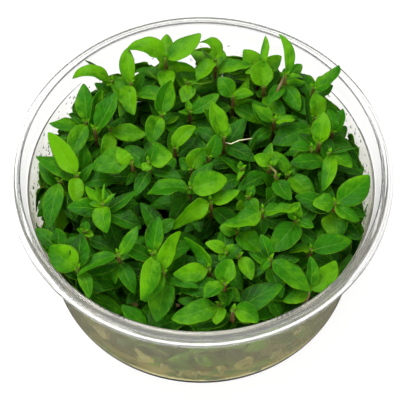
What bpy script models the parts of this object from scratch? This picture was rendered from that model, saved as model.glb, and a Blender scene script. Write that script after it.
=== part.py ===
"""Young creeping aquarium plants, raised in gel in a round clear plastic cup without its lid.

Lengths are in millimetres and become metres when a mesh is made. The origin is the middle of the
cup's base, +Z is up and the plants are seen from the side of -Y, from above.
"""
import math

import bmesh
import bpy
from mathutils import Vector
from mathutils.bvhtree import BVHTree

MM = 0.001

# cup, measured over its rim
RIM_RADIUS = 55.0
CUP_HEIGHT = 48.0
MOUTH_RADIUS = 51.5
LEDGE_RADIUS = 49.7
LEDGE_DEPTH = 7.2
LEDGE_STEP = 0.7
LEDGE_RISE = 0.3
LEDGE_NECK = 0.9
FOOT_RADIUS = 47.1
WALL = 0.8
FOOT_ROUND = 0.6
CORNER_ROUND = 1.2
ARC_CUT = 0.3
BEAD_WIDTH = 1.7
BEVEL = 0.3
FLANGE_DROP = 1.5
FLANGE_LIP = 2.0
CUP_FACETS = 32

# gel that the plants root in
FIT_GAP = 0.3
GEL_TOP = 9.0
GEL_CLIMB = 0.9
GEL_CURVE = 3.6
GEL_FACETS = 32

# plants
NODE_GAP = 4.0
STEM_RADIUS = 0.75
STEM_TAPER = 0.8
STEM_TIP = 0.7
FOOT_SPREAD = 0.84
LEAF_THICKNESS = 0.6
LEAF_CUP = 0.13
LEAF_ARCH = 0.1
CLEARANCE = 0.25
OLD_LEAF_LENGTH = 9.0
OLD_LEAF_WIDTH = 4.2
OLD_LEAF_DROOP = 2.0
OLD_LEAF_TURN = math.radians(67)
LEAVES_EACH = 4

# leaf sections, each as its share of the length and half its width as a share of the whole width
LEAF_SECTIONS = ((0.3, 0.43), (0.68, 0.42))

# how far a leaf's tip stands above its node, and how fast that grows behind or before the node
LEAST_LIFT = 0.5
LIFT_BEHIND = 0.32
LIFT_BEFORE = 0.12

# sizes and tip heights that are tried in turn for a leaf without room
TRY_SIZES = (1.0, 0.88, 0.76)
TRY_STEPS = (0, -1, 1, -2, 2, -3, 3, -4, 4, 5, 6, -5, -6, 7, 8)
TRY_STEP = 0.9

# point that the places of the shoots were read from, and the level that they were read on
EYE = Vector((-0.35, -187.4, 349.8))
READ_LEVEL = 42.0

# each shoot: its top as x, y on the reading level and real height, then its leaves as the x and y
# of the tip on the reading level, the width, and the node that it grows from, counted down
SHOOTS = [
    ((-10.3, 42.5, 50), [(-22.3, 46.3, 5.5, 0), (0.6, 52.0, 6.3, 0), (-0.8, 37.3, 2.0, 1),
        (-7.0, 36.6, 3.0, 1), (-18.3, 36.5, 6.0, 3)]),
    ((-20.8, 33.5, 47), [(-22.0, 46.8, 4.2, 0), (-19.6, 21.7, 4.6, 0)]),
    ((-26.5, 34.3, 46), [(-38.6, 35.3, 4.2, 0), (-21.0, 23.5, 5.0, 0), (-35.0, 42.2, 1.8, 1)]),
    ((-33.8, 19.5, 46), [(-35.2, 33.5, 5.0, 0), (-38.3, 6.5, 5.0, 0), (-44.9, 19.2, 6.2, 1),
        (-39.3, 22.4, 3.0, 1)]),
    ((-31.3, 17.0, 47), [(-25.4, 30.2, 5.5, 0), (-42.3, 14.0, 5.0, 1), (-29.2, 31.0, 2.8, 1)]),
    ((-36.0, 1.0, 47), [(-35.3, -9.0, 4.2, 0), (-45.0, 16.0, 5.0, 0), (-31.0, 5.2, 2.6, 1),
        (-48.2, 7.5, 5.2, 1), (-40.5, -19.0, 4.6, 2), (-34.1, 12.4, 3.2, 2)]),
    ((-40.8, -0.8, 44), [(-43.2, -16.6, 5.2, 0)]),
    ((-26.5, 16.8, 45), [(-29.2, 6.0, 4.0, 0), (-16.0, 15.0, 5.2, 0), (-23.0, 21.0, 4.0, 1)]),
    ((-20.0, 5.3, 48), [(-31.6, 3.2, 7.3, 0), (-24.2, 10.2, 3.8, 0), (-21.6, -2.6, 2.0, 1)]),
    ((-15.2, 5.3, 49), [(-8.1, 7.1, 7.0, 0), (-13.8, 10.7, 3.4, 0), (-17.0, 2.4, 3.0, 0)]),
    ((-11.3, 21.6, 47), [(-14.0, 11.2, 5.2, 0), (-8.5, 34.3, 5.6, 0), (-6.3, 21.0, 2.2, 1),
        (-16.5, 30.0, 5.0, 2)]),
    ((-3.5, 33.3, 46), [(-5.3, 26.1, 4.5, 0), (-2.8, 27.6, 2.4, 0), (4.4, 33.8, 2.4, 0)]),
    ((5.0, 41.8, 49), [(0.1, 48.4, 4.2, 0), (-0.8, 34.0, 5.5, 0), (1.1, 46.0, 2.2, 1),
        (13.4, 37.3, 5.0, 1)]),
    ((18.5, 39.2, 48), [(20.6, 50.7, 2.0, 0), (14.0, 36.5, 3.5, 0), (13.8, 45.5, 6.0, 1)]),
    ((19.5, 31.5, 46), [(20.0, 41.3, 6.5, 0), (19.0, 30.5, 1.8, 1), (16.5, 29.5, 2.4, 1)]),
    ((26.2, 35.7, 49), [(24.8, 51.3, 3.0, 0), (31.3, 34.5, 1.8, 0), (29.8, 22.3, 4.5, 1),
        (32.0, 32.9, 1.8, 1), (29.3, 21.8, 3.6, 3)]),
    ((34.3, 30.5, 48), [(42.6, 39.1, 4.2, 0), (40.3, 31.5, 4.5, 1)]),
    ((34.3, 19.8, 46), [(34.5, 29.0, 5.0, 0), (35.8, 7.9, 3.8, 0), (32.8, 30.0, 3.0, 1),
        (21.0, 10.6, 7.0, 1)]),
    ((35.0, 11.0, 47), [(36.8, 21.8, 5.0, 0)]),
    ((39.0, 14.5, 45), [(42.7, 22.9, 4.6, 0), (38.2, 22.8, 4.0, 0), (44.6, 9.0, 4.0, 1)]),
    ((37.5, 7.3, 48), [(43.8, 2.1, 4.8, 0), (34.8, -5.6, 4.4, 0)]),
    ((32.5, 9.0, 47), [(26.0, 8.6, 3.2, 0), (34.0, 10.2, 1.6, 0), (27.7, 1.5, 5.0, 1),
        (30.3, -1.5, 2.4, 1)]),
    ((22.0, 19.3, 45), [(16.3, 25.0, 5.0, 0), (28.3, 19.3, 3.2, 0)]),
    ((10.0, 27.8, 46), [(5.7, 35.0, 5.0, 0), (16.3, 28.6, 2.9, 0), (17.0, 26.0, 1.8, 1),
        (15.5, 38.0, 4.0, 1)]),
    ((-3.0, 22.6, 45), [(5.8, 29.0, 4.0, 0), (-3.6, 27.0, 1.8, 0), (-6.5, 22.8, 2.0, 0)]),
    ((7.0, 13.5, 48), [(3.8, 26.2, 5.2, 0), (7.6, 19.0, 3.8, 0), (1.2, 24.0, 2.8, 1)]),
    ((-7.5, 9.8, 45), [(-1.2, 17.2, 4.2, 0), (-9.0, 15.5, 3.0, 1)]),
    ((2.3, 6.5, 47), [(4.9, 14.5, 4.2, 0)]),
    ((-2.8, 2.3, 46), [(-6.3, 6.3, 3.4, 0), (1.9, 9.4, 4.8, 0), (-2.9, 8.2, 2.6, 1)]),
    ((-3.2, -3.7, 49), [(7.6, -0.9, 6.8, 0), (-15.6, -5.8, 6.8, 0), (-3.6, -5.9, 1.8, 0)]),
    ((2.8, -8.2, 48), [(11.0, -4.8, 4.8, 0), (-8.3, -17.5, 3.6, 0), (-2.5, -13.8, 2.4, 1)]),
    ((12.0, 2.5, 47), [(11.6, 5.0, 1.6, 0), (10.2, -1.8, 1.6, 0), (17.9, 15.9, 4.5, 2),
        (5.9, 6.2, 2.0, 1)]),
    ((20.0, 3.2, 47), [(15.6, 6.6, 3.6, 0), (22.6, 5.6, 2.6, 0), (20.9, 11.2, 3.2, 1),
        (24.0, 0.2, 1.6, 1)]),
    ((25.2, 0.0, 44), [(21.0, 8.0, 3.0, 0), (27.0, 3.5, 2.6, 0), (32.6, -7.7, 5.5, 0)]),
    ((22.0, -0.8, 46), [(25.8, -8.3, 5.0, 0), (19.0, -9.5, 4.5, 1)]),
    ((17.4, -11.4, 48), [(28.0, -10.5, 5.3, 0), (6.1, -15.8, 5.5, 0), (17.3, -19.8, 4.6, 1)]),
    ((38.4, -9.5, 47), [(48.7, -0.3, 6.5, 0), (31.8, -9.8, 5.2, 0), (44.6, -15.5, 4.0, 0),
        (36.5, -3.3, 2.6, 1), (37.5, -21.6, 6.6, 1), (45.0, -21.5, 4.5, 2)]),
    ((26.8, -15.0, 46), [(18.6, -24.3, 6.8, 0), (28.0, -9.2, 3.8, 0), (31.7, -17.4, 2.6, 0)]),
    ((13.5, -7.0, 45), [(16.3, -12.3, 4.0, 0), (15.3, -3.3, 2.8, 0), (10.0, -11.5, 3.0, 1)]),
    ((10.0, -18.3, 44), [(17.5, -26.0, 5.5, 0), (5.0, -17.0, 4.0, 0)]),
    ((6.8, -25.0, 47), [(0.9, -22.0, 3.2, 0), (8.9, -22.3, 3.0, 0), (4.6, -27.6, 2.6, 0),
        (11.6, -21.3, 3.0, 1)]),
    ((6.1, -34.6, 47), [(8.3, -27.2, 5.2, 0), (0.3, -39.2, 4.2, 0), (5.7, -42.0, 4.0, 1),
        (10.5, -40.0, 3.5, 1)]),
    ((2.0, -30.0, 45), [(-8.1, -31.6, 4.8, 0), (-5.0, -20.0, 2.4, 0)]),
    ((-10.8, -30.5, 46), [(-5.8, -18.2, 3.8, 0), (-16.0, -40.0, 4.6, 0), (-12.5, -46.0, 6.5, 1)]),
    ((-13.8, -24.8, 48), [(-12.2, -13.0, 4.5, 0), (-16.8, -39.6, 5.0, 0), (-11.8, -27.5, 1.8, 0)]),
    ((-23.4, -25.0, 46), [(-34.7, -31.6, 4.4, 0), (-18.2, -16.2, 3.6, 0), (-24.0, -34.1, 3.0, 1),
        (-18.5, -37.5, 4.2, 1)]),
    ((-34.6, -29.4, 45), [(-42.5, -22.0, 7.0, 0), (-31.2, -38.6, 3.4, 0), (-27.0, -36.5, 3.5, 1)]),
    ((-28.2, -8.6, 49), [(-26.7, -18.2, 5.0, 0), (-30.8, -2.2, 1.8, 0), (-33.3, -2.7, 2.2, 0),
        (-32.0, -8.5, 2.0, 0), (-18.6, -4.5, 4.0, 1), (-17.0, -17.0, 5.5, 1)]),
    ((-33.0, -17.6, 45), [(-32.6, -14.3, 3.0, 0), (-35.3, -16.8, 2.0, 0), (-30.5, -19.0, 2.0, 0)]),
    ((-40.5, -22.5, 45), [(-41.0, -16.5, 4.2, 0)]),
    ((-11.5, -18.7, 44), [(-7.2, -14.6, 3.4, 0), (-17.5, -8.5, 4.5, 1)]),
    ((4.6, -41.0, 43), [(3.5, -47.0, 4.0, 0), (-8.6, -45.1, 6.0, 0), (-7.0, -39.5, 4.0, 1)]),
    ((8.2, -42.5, 45), [(14.8, -46.7, 4.8, 0), (22.2, -35.3, 6.8, 1)]),
    ((10.3, -26.2, 44), [(13.6, -33.7, 3.8, 0)]),
    ((19.0, -27.2, 47), [(29.6, -37.6, 6.0, 0), (16.4, -30.8, 2.3, 0)]),
    ((29.2, -36.8, 43), [(21.8, -40.3, 3.5, 0), (30.0, -26.5, 3.4, 0), (37.0, -28.0, 5.5, 0)]),
    ((30.5, -24.5, 43), [(42.0, -22.0, 5.5, 0), (24.0, -25.5, 3.8, 0)]),
]


def new_material(name, color, roughness, transmission=0.0):
    material = bpy.data.materials.new(name)
    material.use_nodes = True
    shader = material.node_tree.nodes["Principled BSDF"]
    shader.inputs["Base Color"].default_value = (*color, 1.0)
    shader.inputs["Roughness"].default_value = roughness
    shader.inputs["Transmission Weight"].default_value = transmission
    return material


def add_object(name, mesh, material, collection):
    piece = bpy.data.objects.new(name, mesh)
    mesh.materials.clear()
    mesh.materials.append(material)
    collection.objects.link(piece)
    return piece


def wall_radius(height):
    """Inner radius of the cup's tapering wall, below the ledge."""
    share = height / (CUP_HEIGHT - LEDGE_DEPTH)
    foot = FOOT_RADIUS - WALL
    return foot + (LEDGE_RADIUS - foot) * share


def turned(name, profile, facets, material, collection):
    """Turn a profile, given from the axis up the inside and down the outer side, round +Z."""
    mesh = bpy.data.meshes.new(name)
    points = [(radius * MM, 0.0, height * MM) for radius, height in profile]
    mesh.from_pydata(points, [(i, i + 1) for i in range(len(points) - 1)], [])
    piece = add_object(name, mesh, material, collection)
    screw = piece.modifiers.new("turn", "SCREW")
    screw.steps = facets
    screw.render_steps = facets
    screw.use_merge_vertices = True
    screw.merge_threshold = 0.00001
    return piece


def make_cup(material, collection):
    """Thin cup with a flat foot, a ledge for the lid, a beaded mouth and a lipped flange."""
    ledge = CUP_HEIGHT - LEDGE_DEPTH
    flange = CUP_HEIGHT - FLANGE_DROP
    bead = MOUTH_RADIUS + BEAD_WIDTH
    corner = WALL + CORNER_ROUND
    cut = ARC_CUT * CORNER_ROUND
    inside = [
        (0.0, WALL),
        (wall_radius(WALL) - CORNER_ROUND, WALL),
        (wall_radius(WALL + cut) - cut, WALL + cut),
        (wall_radius(corner), corner),
        (LEDGE_RADIUS, ledge),
        (LEDGE_RADIUS + LEDGE_STEP, ledge + LEDGE_RISE),
        (MOUTH_RADIUS, CUP_HEIGHT - BEVEL),
    ]
    rim = [
        (MOUTH_RADIUS + BEVEL, CUP_HEIGHT),
        (bead - BEVEL, CUP_HEIGHT),
        (bead, CUP_HEIGHT - BEVEL),
        (bead + BEVEL, flange),
        (RIM_RADIUS - BEVEL, flange),
        (RIM_RADIUS, flange - BEVEL),
        (RIM_RADIUS, flange - FLANGE_LIP),
        (RIM_RADIUS - WALL, flange - FLANGE_LIP),
        (RIM_RADIUS - WALL, flange - WALL),
        (MOUTH_RADIUS + 1.5 * WALL, flange - WALL),
    ]
    outside = [
        (LEDGE_RADIUS + LEDGE_STEP + WALL, ledge - LEDGE_RISE),
        (LEDGE_RADIUS + WALL, ledge - LEDGE_NECK),
        (wall_radius(FOOT_ROUND) + WALL, FOOT_ROUND),
        (FOOT_RADIUS - FOOT_ROUND, 0.0),
        (0.0, 0.0),
    ]
    cup = turned("cup", inside + rim + outside, CUP_FACETS, material, collection)
    cup.data.shade_smooth()
    return cup


def make_gel(material, collection):
    """Layer of firm gel that climbs a little where it meets the wall."""
    low = WALL + FIT_GAP
    side = wall_radius(GEL_TOP) - FIT_GAP
    corner = WALL + CORNER_ROUND + FIT_GAP
    profile = [
        (0.0, GEL_TOP),
        (side - GEL_CURVE, GEL_TOP),
        (side, GEL_TOP + GEL_CLIMB),
        (wall_radius(corner) - FIT_GAP, corner),
        (wall_radius(WALL) - CORNER_ROUND - FIT_GAP, low),
        (0.0, low),
    ]
    return turned("gel", profile, GEL_FACETS, material, collection)


def seen_at(x, y, height):
    """Point at a height that is seen at x, y of the reading level from the eye."""
    share = (EYE.z - height) / (EYE.z - READ_LEVEL)
    return Vector((EYE.x + (x - EYE.x) * share, EYE.y + (y - EYE.y) * share, height))


def stem_line(top):
    """Points of a stem from the gel to its top, leaning outward and straightening as it rises."""
    foot = Vector((top.x * FOOT_SPREAD, top.y * FOOT_SPREAD, GEL_TOP + FIT_GAP))
    points = []
    for share in (0.0, 0.5, 1.0):
        bend = math.sin(share * math.pi / 2)
        point = foot.lerp(top, bend)
        point.z = foot.z + (top.z - foot.z) * share
        points.append(point)
    return points


def stem_point(line, height):
    """Point of a stem's middle line at a height."""
    for low, high in zip(line, line[1:]):
        if height <= high.z:
            return low.lerp(high, (height - low.z) / (high.z - low.z))
    return line[-1]


def leaf_body(base, tip, width, extra=0.0):
    """Vertices and faces of a closed leaf: two cupped sections lofted between base and tip.

    extra swells the leaf on all sides, for finding whether it has room.
    """
    along = tip - base
    across = along.cross(Vector((0, 0, 1))).normalized()
    upward = across.cross(along).normalized()
    points = [base]
    for share, wide in LEAF_SECTIONS:
        middle = base + along * share + upward * along.length * LEAF_ARCH
        half = across * (width * wide + extra)
        rise = upward * width * LEAF_CUP
        thick = upward * (LEAF_THICKNESS / 2 + extra)
        points += [middle - half + rise, middle + thick, middle + half + rise, middle - thick]
    points.append(tip + along.normalized() * extra)
    faces = []
    for i in range(4):
        j = (i + 1) % 4
        faces.append((0, 1 + i, 1 + j))
        faces.append((1 + i, 5 + i, 5 + j, 1 + j))
        faces.append((5 + i, 9, 5 + j))
    return points, faces


def tree_of(points, faces):
    return BVHTree.FromPolygons([tuple(point) for point in points], faces)


def has_room(base, tip, width, others):
    """True where a swollen leaf meets nothing but its own stem, which isn't among the others."""
    tree = tree_of(*leaf_body(base, tip, width, CLEARANCE))
    return not any(tree.overlap(other) for other in others)


def reading_of(point):
    """Where a point is seen on the reading level."""
    share = (EYE.z - READ_LEVEL) / (EYE.z - point.z)
    return EYE + (point - EYE) * share


def lift_of(base, y):
    """How far a tip stands above its node: leaves that point away rise, others hang a little."""
    away = y - reading_of(base).y
    return LEAST_LIFT + (LIFT_BEHIND if away > 0 else LIFT_BEFORE) * away


def place_leaf(base, x, y, width, others):
    """Tip and width of a leaf seen at x, y, raised, lowered or shortened until it has room."""
    lift = lift_of(base, y)
    for size in TRY_SIZES:
        for step in TRY_STEPS:
            tip = seen_at(x, y, base.z + lift + TRY_STEP * step)
            tip = base.lerp(tip, size)
            if has_room(base, tip, width * size, others):
                return tip, width * size
    return None


def old_leaf_tips(top, leaves, index):
    """Tips of older leaves, in crossed pairs lower on the stem, for shoots with few leaves."""
    first = max(leaf[3] for leaf in leaves) + 1
    turn = index * OLD_LEAF_TURN
    for count in range(LEAVES_EACH - len(leaves)):
        angle = turn + (count % 2) * math.pi + (count // 2) * math.pi / 2
        node = first + count // 2
        height = top.z - node * NODE_GAP - OLD_LEAF_DROOP
        reach = Vector((math.cos(angle), math.sin(angle), 0)) * OLD_LEAF_LENGTH
        yield node, Vector((top.x, top.y, height)) + reach


def node_height(top, node):
    return top.z - STEM_TIP - node * NODE_GAP


def stem_body(line):
    """Vertices and faces of a closed square tube along a stem, tapering upward."""
    points = []
    for middle in line:
        radius = STEM_RADIUS * (1.0 + (STEM_TAPER - 1.0) * middle.z / line[-1].z)
        corners = ((radius, 0, 0), (0, radius, 0), (-radius, 0, 0), (0, -radius, 0))
        points += [middle + Vector(corner) for corner in corners]
    faces = [(3, 2, 1, 0)]
    for low in range(0, 4 * (len(line) - 1), 4):
        for i in range(4):
            j = (i + 1) % 4
            faces.append((low + i, low + j, low + 4 + j, low + 4 + i))
    last = len(points) - 4
    faces.append((last, last + 1, last + 2, last + 3))
    return points, faces


def body_mesh(body):
    """Mesh of a closed body in triangles, with its normals outward."""
    points, faces = body
    mesh = bpy.data.meshes.new("body")
    mesh.from_pydata([tuple(point * MM) for point in points], [], faces)
    shape = bmesh.new()
    shape.from_mesh(mesh)
    bmesh.ops.triangulate(shape, faces=shape.faces)
    bmesh.ops.recalc_face_normals(shape, faces=shape.faces)
    shape.to_mesh(mesh)
    shape.free()
    return mesh


def fuse(name, stem, leaves, material, collection):
    """One grown body of a stem and its leaves, joined one leaf after another."""
    plant = add_object(name, body_mesh(stem), material, collection)
    for body in leaves:
        leaf = bpy.data.objects.new("leaf", body_mesh(body))
        collection.objects.link(leaf)
        union = plant.modifiers.new("grow", "BOOLEAN")
        union.operation = "UNION"
        union.solver = "EXACT"
        union.object = leaf
        seen = plant.evaluated_get(bpy.context.evaluated_depsgraph_get())
        mesh = bpy.data.meshes.new_from_object(seen)
        plant.modifiers.clear()
        plant.data = mesh
        bpy.data.objects.remove(leaf)
    plant.data.materials.clear()
    plant.data.materials.append(material)
    return plant


def mesh_tree(piece):
    """Search tree of a piece as it is seen, in millimetres."""
    seen = piece.evaluated_get(bpy.context.evaluated_depsgraph_get())
    mesh = seen.to_mesh()
    points = [tuple(piece.matrix_world @ vertex.co / MM) for vertex in mesh.vertices]
    faces = [tuple(face.vertices) for face in mesh.polygons]
    return BVHTree.FromPolygons(points, faces)


def grow_leaves(index, top, line, others):
    """Bodies of a shoot's listed and older leaves, of those that have room."""
    wanted = []
    for x, y, width, node in SHOOTS[index][1]:
        wanted.append((node, x, y, width))
    for node, tip in old_leaf_tips(top, SHOOTS[index][1], index):
        reading = reading_of(tip)
        wanted.append((node, reading.x, reading.y, OLD_LEAF_WIDTH))
    bodies = []
    for node, x, y, width in wanted:
        base = stem_point(line, node_height(top, node))
        found = place_leaf(base, x, y, width, others)
        if found:
            bodies.append(leaf_body(base, *found))
    return bodies


def make_plants(cup, gel, material, collection):
    """Grow each shoot's stem first, then its leaves where they have room."""
    tops = [seen_at(*top) for top, leaves in SHOOTS]
    lines = [stem_line(top) for top in tops]
    stems = [stem_body(line) for line in lines]
    stem_trees = [tree_of(*stem) for stem in stems]
    taken = [mesh_tree(cup), mesh_tree(gel)]
    for index, (top, line) in enumerate(zip(tops, lines)):
        others = taken + stem_trees[:index] + stem_trees[index + 1:]
        leaves = grow_leaves(index, top, line, others)
        taken += [tree_of(*body) for body in leaves]
        fuse(f"plantlet_{index + 1:02d}", stems[index], leaves, material, collection)


def main():
    for item in list(bpy.data.objects):
        bpy.data.objects.remove(item)
    collection = bpy.data.collections.new("cup_of_plantlets")
    bpy.context.scene.collection.children.link(collection)
    plastic = new_material("clear_plastic", (0.95, 0.95, 0.94), 0.08, transmission=1.0)
    jelly = new_material("culture_gel", (0.82, 0.78, 0.64), 0.25, transmission=0.6)
    green = new_material("leaf_green", (0.14, 0.36, 0.02), 0.45)
    cup = make_cup(plastic, collection)
    gel = make_gel(jelly, collection)
    make_plants(cup, gel, green, collection)


main()
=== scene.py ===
"""Looks of a round clear cup of young creeping aquarium plants, seen from above its front.

Lengths are in millimetres and become metres when a mesh is made. The cup's measures, the eye and
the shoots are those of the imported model, so that each detailed shoot grows where its node does.
"""
import math
import random
from dataclasses import dataclass

import bpy
import numpy as np
from mathutils import Matrix, Vector, noise
from mathutils.bvhtree import BVHTree


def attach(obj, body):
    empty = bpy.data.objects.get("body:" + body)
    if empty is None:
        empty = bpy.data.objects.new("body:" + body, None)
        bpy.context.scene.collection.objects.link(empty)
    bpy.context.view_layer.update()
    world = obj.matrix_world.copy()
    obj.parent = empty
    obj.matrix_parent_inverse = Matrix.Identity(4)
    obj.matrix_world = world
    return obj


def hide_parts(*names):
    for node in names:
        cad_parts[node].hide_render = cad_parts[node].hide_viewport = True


MM = 0.001

# cup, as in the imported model
RIM_RADIUS = 55.0
CUP_HEIGHT = 48.0
MOUTH_RADIUS = 51.5
LEDGE_RADIUS = 49.7
LEDGE_DEPTH = 7.2
LEDGE_STEP = 0.7
LEDGE_RISE = 0.3
LEDGE_NECK = 0.9
FOOT_RADIUS = 47.1
WALL = 0.8
FOOT_ROUND = 0.6
CORNER_ROUND = 1.2
ARC_CUT = 0.3
BEAD_WIDTH = 1.7
BEVEL = 0.3
FLANGE_DROP = 1.5
FLANGE_LIP = 2.0

# gel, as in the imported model
FIT_GAP = 0.3
GEL_TOP = 9.0
GEL_CLIMB = 0.9
GEL_CURVE = 3.6

# plants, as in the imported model
NODE_GAP = 4.0
STEM_RADIUS = 0.75
STEM_TAPER = 0.8
STEM_TIP = 0.7
FOOT_SPREAD = 0.84
LEAF_THICKNESS = 0.6
LEAF_CUP = 0.13
LEAF_ARCH = 0.1
CLEARANCE = 0.25
OLD_LEAF_LENGTH = 9.0
OLD_LEAF_WIDTH = 4.2
OLD_LEAF_DROOP = 2.0
OLD_LEAF_TURN = math.radians(67)
LEAVES_EACH = 4
LEAF_SECTIONS = ((0.3, 0.43), (0.68, 0.42))
LEAST_LIFT = 0.5
LIFT_BEHIND = 0.32
LIFT_BEFORE = 0.12
TRY_SIZES = (1.0, 0.88, 0.76)
TRY_STEPS = (0, -1, 1, -2, 2, -3, 3, -4, 4, 5, 6, -5, -6, 7, 8)
TRY_STEP = 0.9

# leaf forms; here and below, a pair is the two ends of a zone along or across the leaf, or the
# least and the most of a measure drawn at random
STALK_SHARE = 0.08
STALK_HALF = 0.42
STALK_THICKNESS = 0.4
STALK_END = (0.03, 0.2)
BLADE_THICKNESS = 0.3
BLADE_THINS = 0.5
BLADE_POWER = 0.7
BLADE_FULL = 0.75
THINNEST = 0.02
RIDGE = 0.22
RIDGE_HALF = 0.35
RIDGE_FADE = 0.7
GROOVE = 0.12
GROOVE_HALF = 0.3
QUILT = 0.05
QUILT_START = (0.12, 0.3)
VEINS = 6.0
VEIN_SLANT = 1.9
EDGE_WAVES = 9.0
EDGE_SHIFT = 1.3
WAVE_PHASE = (0.0, 6.3)
SMALL_WAVES = 21.0
SMALL_WAVE = 0.3
CUP_POWER = 1.5
CUP_EASE = 0.35
CUP_FADE = 0.7
ROLL_ZONE = (0.02, 0.4)
ROW_SPACING = (0.55, 0.45)
EDGE_LOOK = 0.5
USUAL_SHAPE = 0.54
WIDER = 1.15
EDGE_ON = 0.62
EDGE_ON_WIDTH = 0.8
SMALL_LENGTH = 5.0
# lower down a stem the listed leaves are coloured darker: they are older, and this is partly painted
# shade deep in the stand
TOP_LIGHT = 0.72
LIGHT_STEP = 0.16
LIGHT_SPREAD = (-0.3, 0.2)
# painted light: leaves toward the back of the cup are coloured lighter, up to a limit
BACK_PAINTED_LIGHT = 0.4
MOST_BACK_PAINTED_LIGHT = 0.85
BACK_ZONE = (18.0, 40.0)
PRESSED_THICKNESS = 0.12
PRESS_GAP = 0.08
LEAF_OVER_GEL = 0.8
LEAF_OVER_FLOOR = 1.8

# bends of the listed leaves, with roll and twist in degrees, and of the ones between them
TOP_BENDS = {
    "sway": (-0.1, 0.1),
    "hook": (-0.1, 0.05),
    "cup": (0.0, 0.65),
    "ripple": (0.04, 0.2),
    "roll": (-22, 22),
    "twist": (-28, 28),
    "skew": (-0.14, 0.14),
}
MORE_BENDS = {"twist": 0.3, "skew": 0.1, "ripple": 0.2}

# measures of single leaves, by shoot and place in its list, where the usual ones don't fit;
# roll is in radians
SPECIAL = {
    (0, 0): {"arch": 0.25},
    (2, 0): {"arch": 0.2, "hook": 0.15},
    (5, 0): {"light": 1.1},
    (5, 1): {"light": 1.3},
    (5, 4): {"light": 1.2},
    (12, 0): {"sway": 0.4},
    (13, 0): {"sway": 0.1, "width": 2.8, "roll": 0.4},
    (15, 0): {"sway": 0.17, "width": 3.2, "roll": 0.4},
    (16, 0): {"sway": 0.14, "width": 6.2},
}

# older leaves down the stems, in crossed pairs
NODES_EACH = 8
FINE_NODES = 3
LOWEST_NODE = GEL_TOP + 2.5
STEM_TURN = 1.17
# older leaves are coloured darker, more so lower down: partly their age, partly painted shade deep in the
# stand
OLD_LIGHT = 0.3
OLD_LIGHT_STEP = 0.04
OLD_LIGHT_SPREAD = (-0.08, 0.2)
OLD_SIZES = (1.0, 0.8, 0.62)
OLD_TURNS = (0.0, 0.35, -0.35, 0.7, -0.7, 1.05, -1.05)
OLD_LENGTH = (9.5, 13.0)
OLD_RISE = (-0.4, 0.35)
OLD_SHAPE = (0.42, 0.54)
OLD_BENDS = {"cup": (0.1, 0.3), "twist": (-0.5, 0.5), "skew": (-0.12, 0.12)}
TIGHT = 0.02

# side shoots that reach the wall, with leaves pressed against it and leaves that turn back
RUNNERS = 75
RUNNER_SPREAD = (-0.05, 0.05)
RUNNER_LEVELS = (5.0, 21.0, 33.5, 12.0, 27.5)
RUNNER_LEVEL_SPREAD = (-2.0, 2.0)
RUNNER_RADIUS = 0.35
RUNNER_TAPER = 0.04
RUNNER_SIDES = 6
RUNNER_GAP = 1.8
RUNNER_CLIMB = 3.0
RUNNER_STEPS = 6
LOWEST_RUNNER = GEL_TOP + 1.0
WALL_LEAVES = 3
WALL_TURN = (0.08, 0.22)
WALL_RISE = (-6.5, 3.5)
WALL_REACH = (-0.6, 0.8)
WALL_SHAPE = (0.5, 0.62)
WALL_BENDS = {"light": (0.1, 1.1), "cup": (0.0, 0.3)}
WALL_ROLL = (60, 88)
INNER_LEAVES = 3
INNER_TURN = 0.9
INNER_TURN_SPREAD = (-0.3, 0.3)
INNER_RISE = (-0.1, 0.4)
INNER_LENGTH = (8.0, 12.0)
INNER_SHAPE = 0.55
INNER_BENDS = {"light": (0.0, 0.5), "twist": (-0.4, 0.4)}

# buds, stems and roots
BUD_LIGHT = 0.95
BUD_REACH = 1.3
BUD_RISE = 1.3
BUD_DEPTH = 0.4
BUD_WIDTH = 0.9
BUD_CUP = 0.6
STEM_RINGS = 26
STEM_SIDES = 10
STEM_THIN = 0.8
NODE_SWELL = 0.3
NODE_LENGTH = 0.6
STEM_DOME = 0.3
DOME_RADIUS = 0.25 * STEM_RADIUS
ROOTS_EACH = 3
ROOT_STEPS = 6
ROOT_SIDES = 5
ROOT_RADIUS = 0.25
ROOT_TAPER = 0.5
ROOT_START = 0.3
ROOT_REACH = (3.0, 7.0)
ROOT_BEND = (-0.3, 0.3)
ROOT_FLOOR = 1.8
ROOT_FALL = 1.3
ROOT_MARGIN = FIT_GAP + 0.6

# surfaces of a shoot, by their order
LEAF_KIND = 0
STEM_KIND = 1
ROOT_KIND = 2

# stalks that show between the leaves: the shoot that each belongs to, its surface, its radius, and
# the x and y on the reading level and real height of its points
TWIG_SIDES = 8
TWIGS = [
    (0, LEAF_KIND, 0.45, [(-11.3, 33.0, 43.0), (-13.5, 35.5, 45.5), (-16.0, 38.0, 46.0)]),
    (15, STEM_KIND, 0.5, [(25.8, 34.5, 47.0), (24.0, 31.0, 46.0), (22.8, 28.0, 45.0)]),
    (25, ROOT_KIND, 0.15, [(7.4, 11.4, 46.5), (9.0, 11.0, 48.5), (11.5, 12.2, 49.0), (15.2, 12.8, 48.0)]),
    (32, STEM_KIND, 0.4, [(20.0, 3.0, 47.5), (21.8, 1.0, 48.0), (21.3, -1.0, 47.0)]),
]

# drops on the wall; a drop's rings go from the wall inward, as lift and width in shares of its size
DROPS = 2200
DROP_SIDES = 6
DROP_RINGS = ((0.0, 1.0), (0.35, 0.8), (0.55, 0.4))
DROP_SINK = 0.02
DROP_VARIETY = 7
DROP_BUMPS = 1.7
DROP_SIZE = 0.12
DROP_SIZE_MORE = 0.45
DROP_TALL = (0.6, 1.4)
DROP_PATCHES = (4.0, 9.0)
DROP_CHANCE = (-0.5, 0.6)
DROP_HEIGHT = (GEL_TOP + 3.0, CUP_HEIGHT - LEDGE_DEPTH - 1.0)
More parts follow.
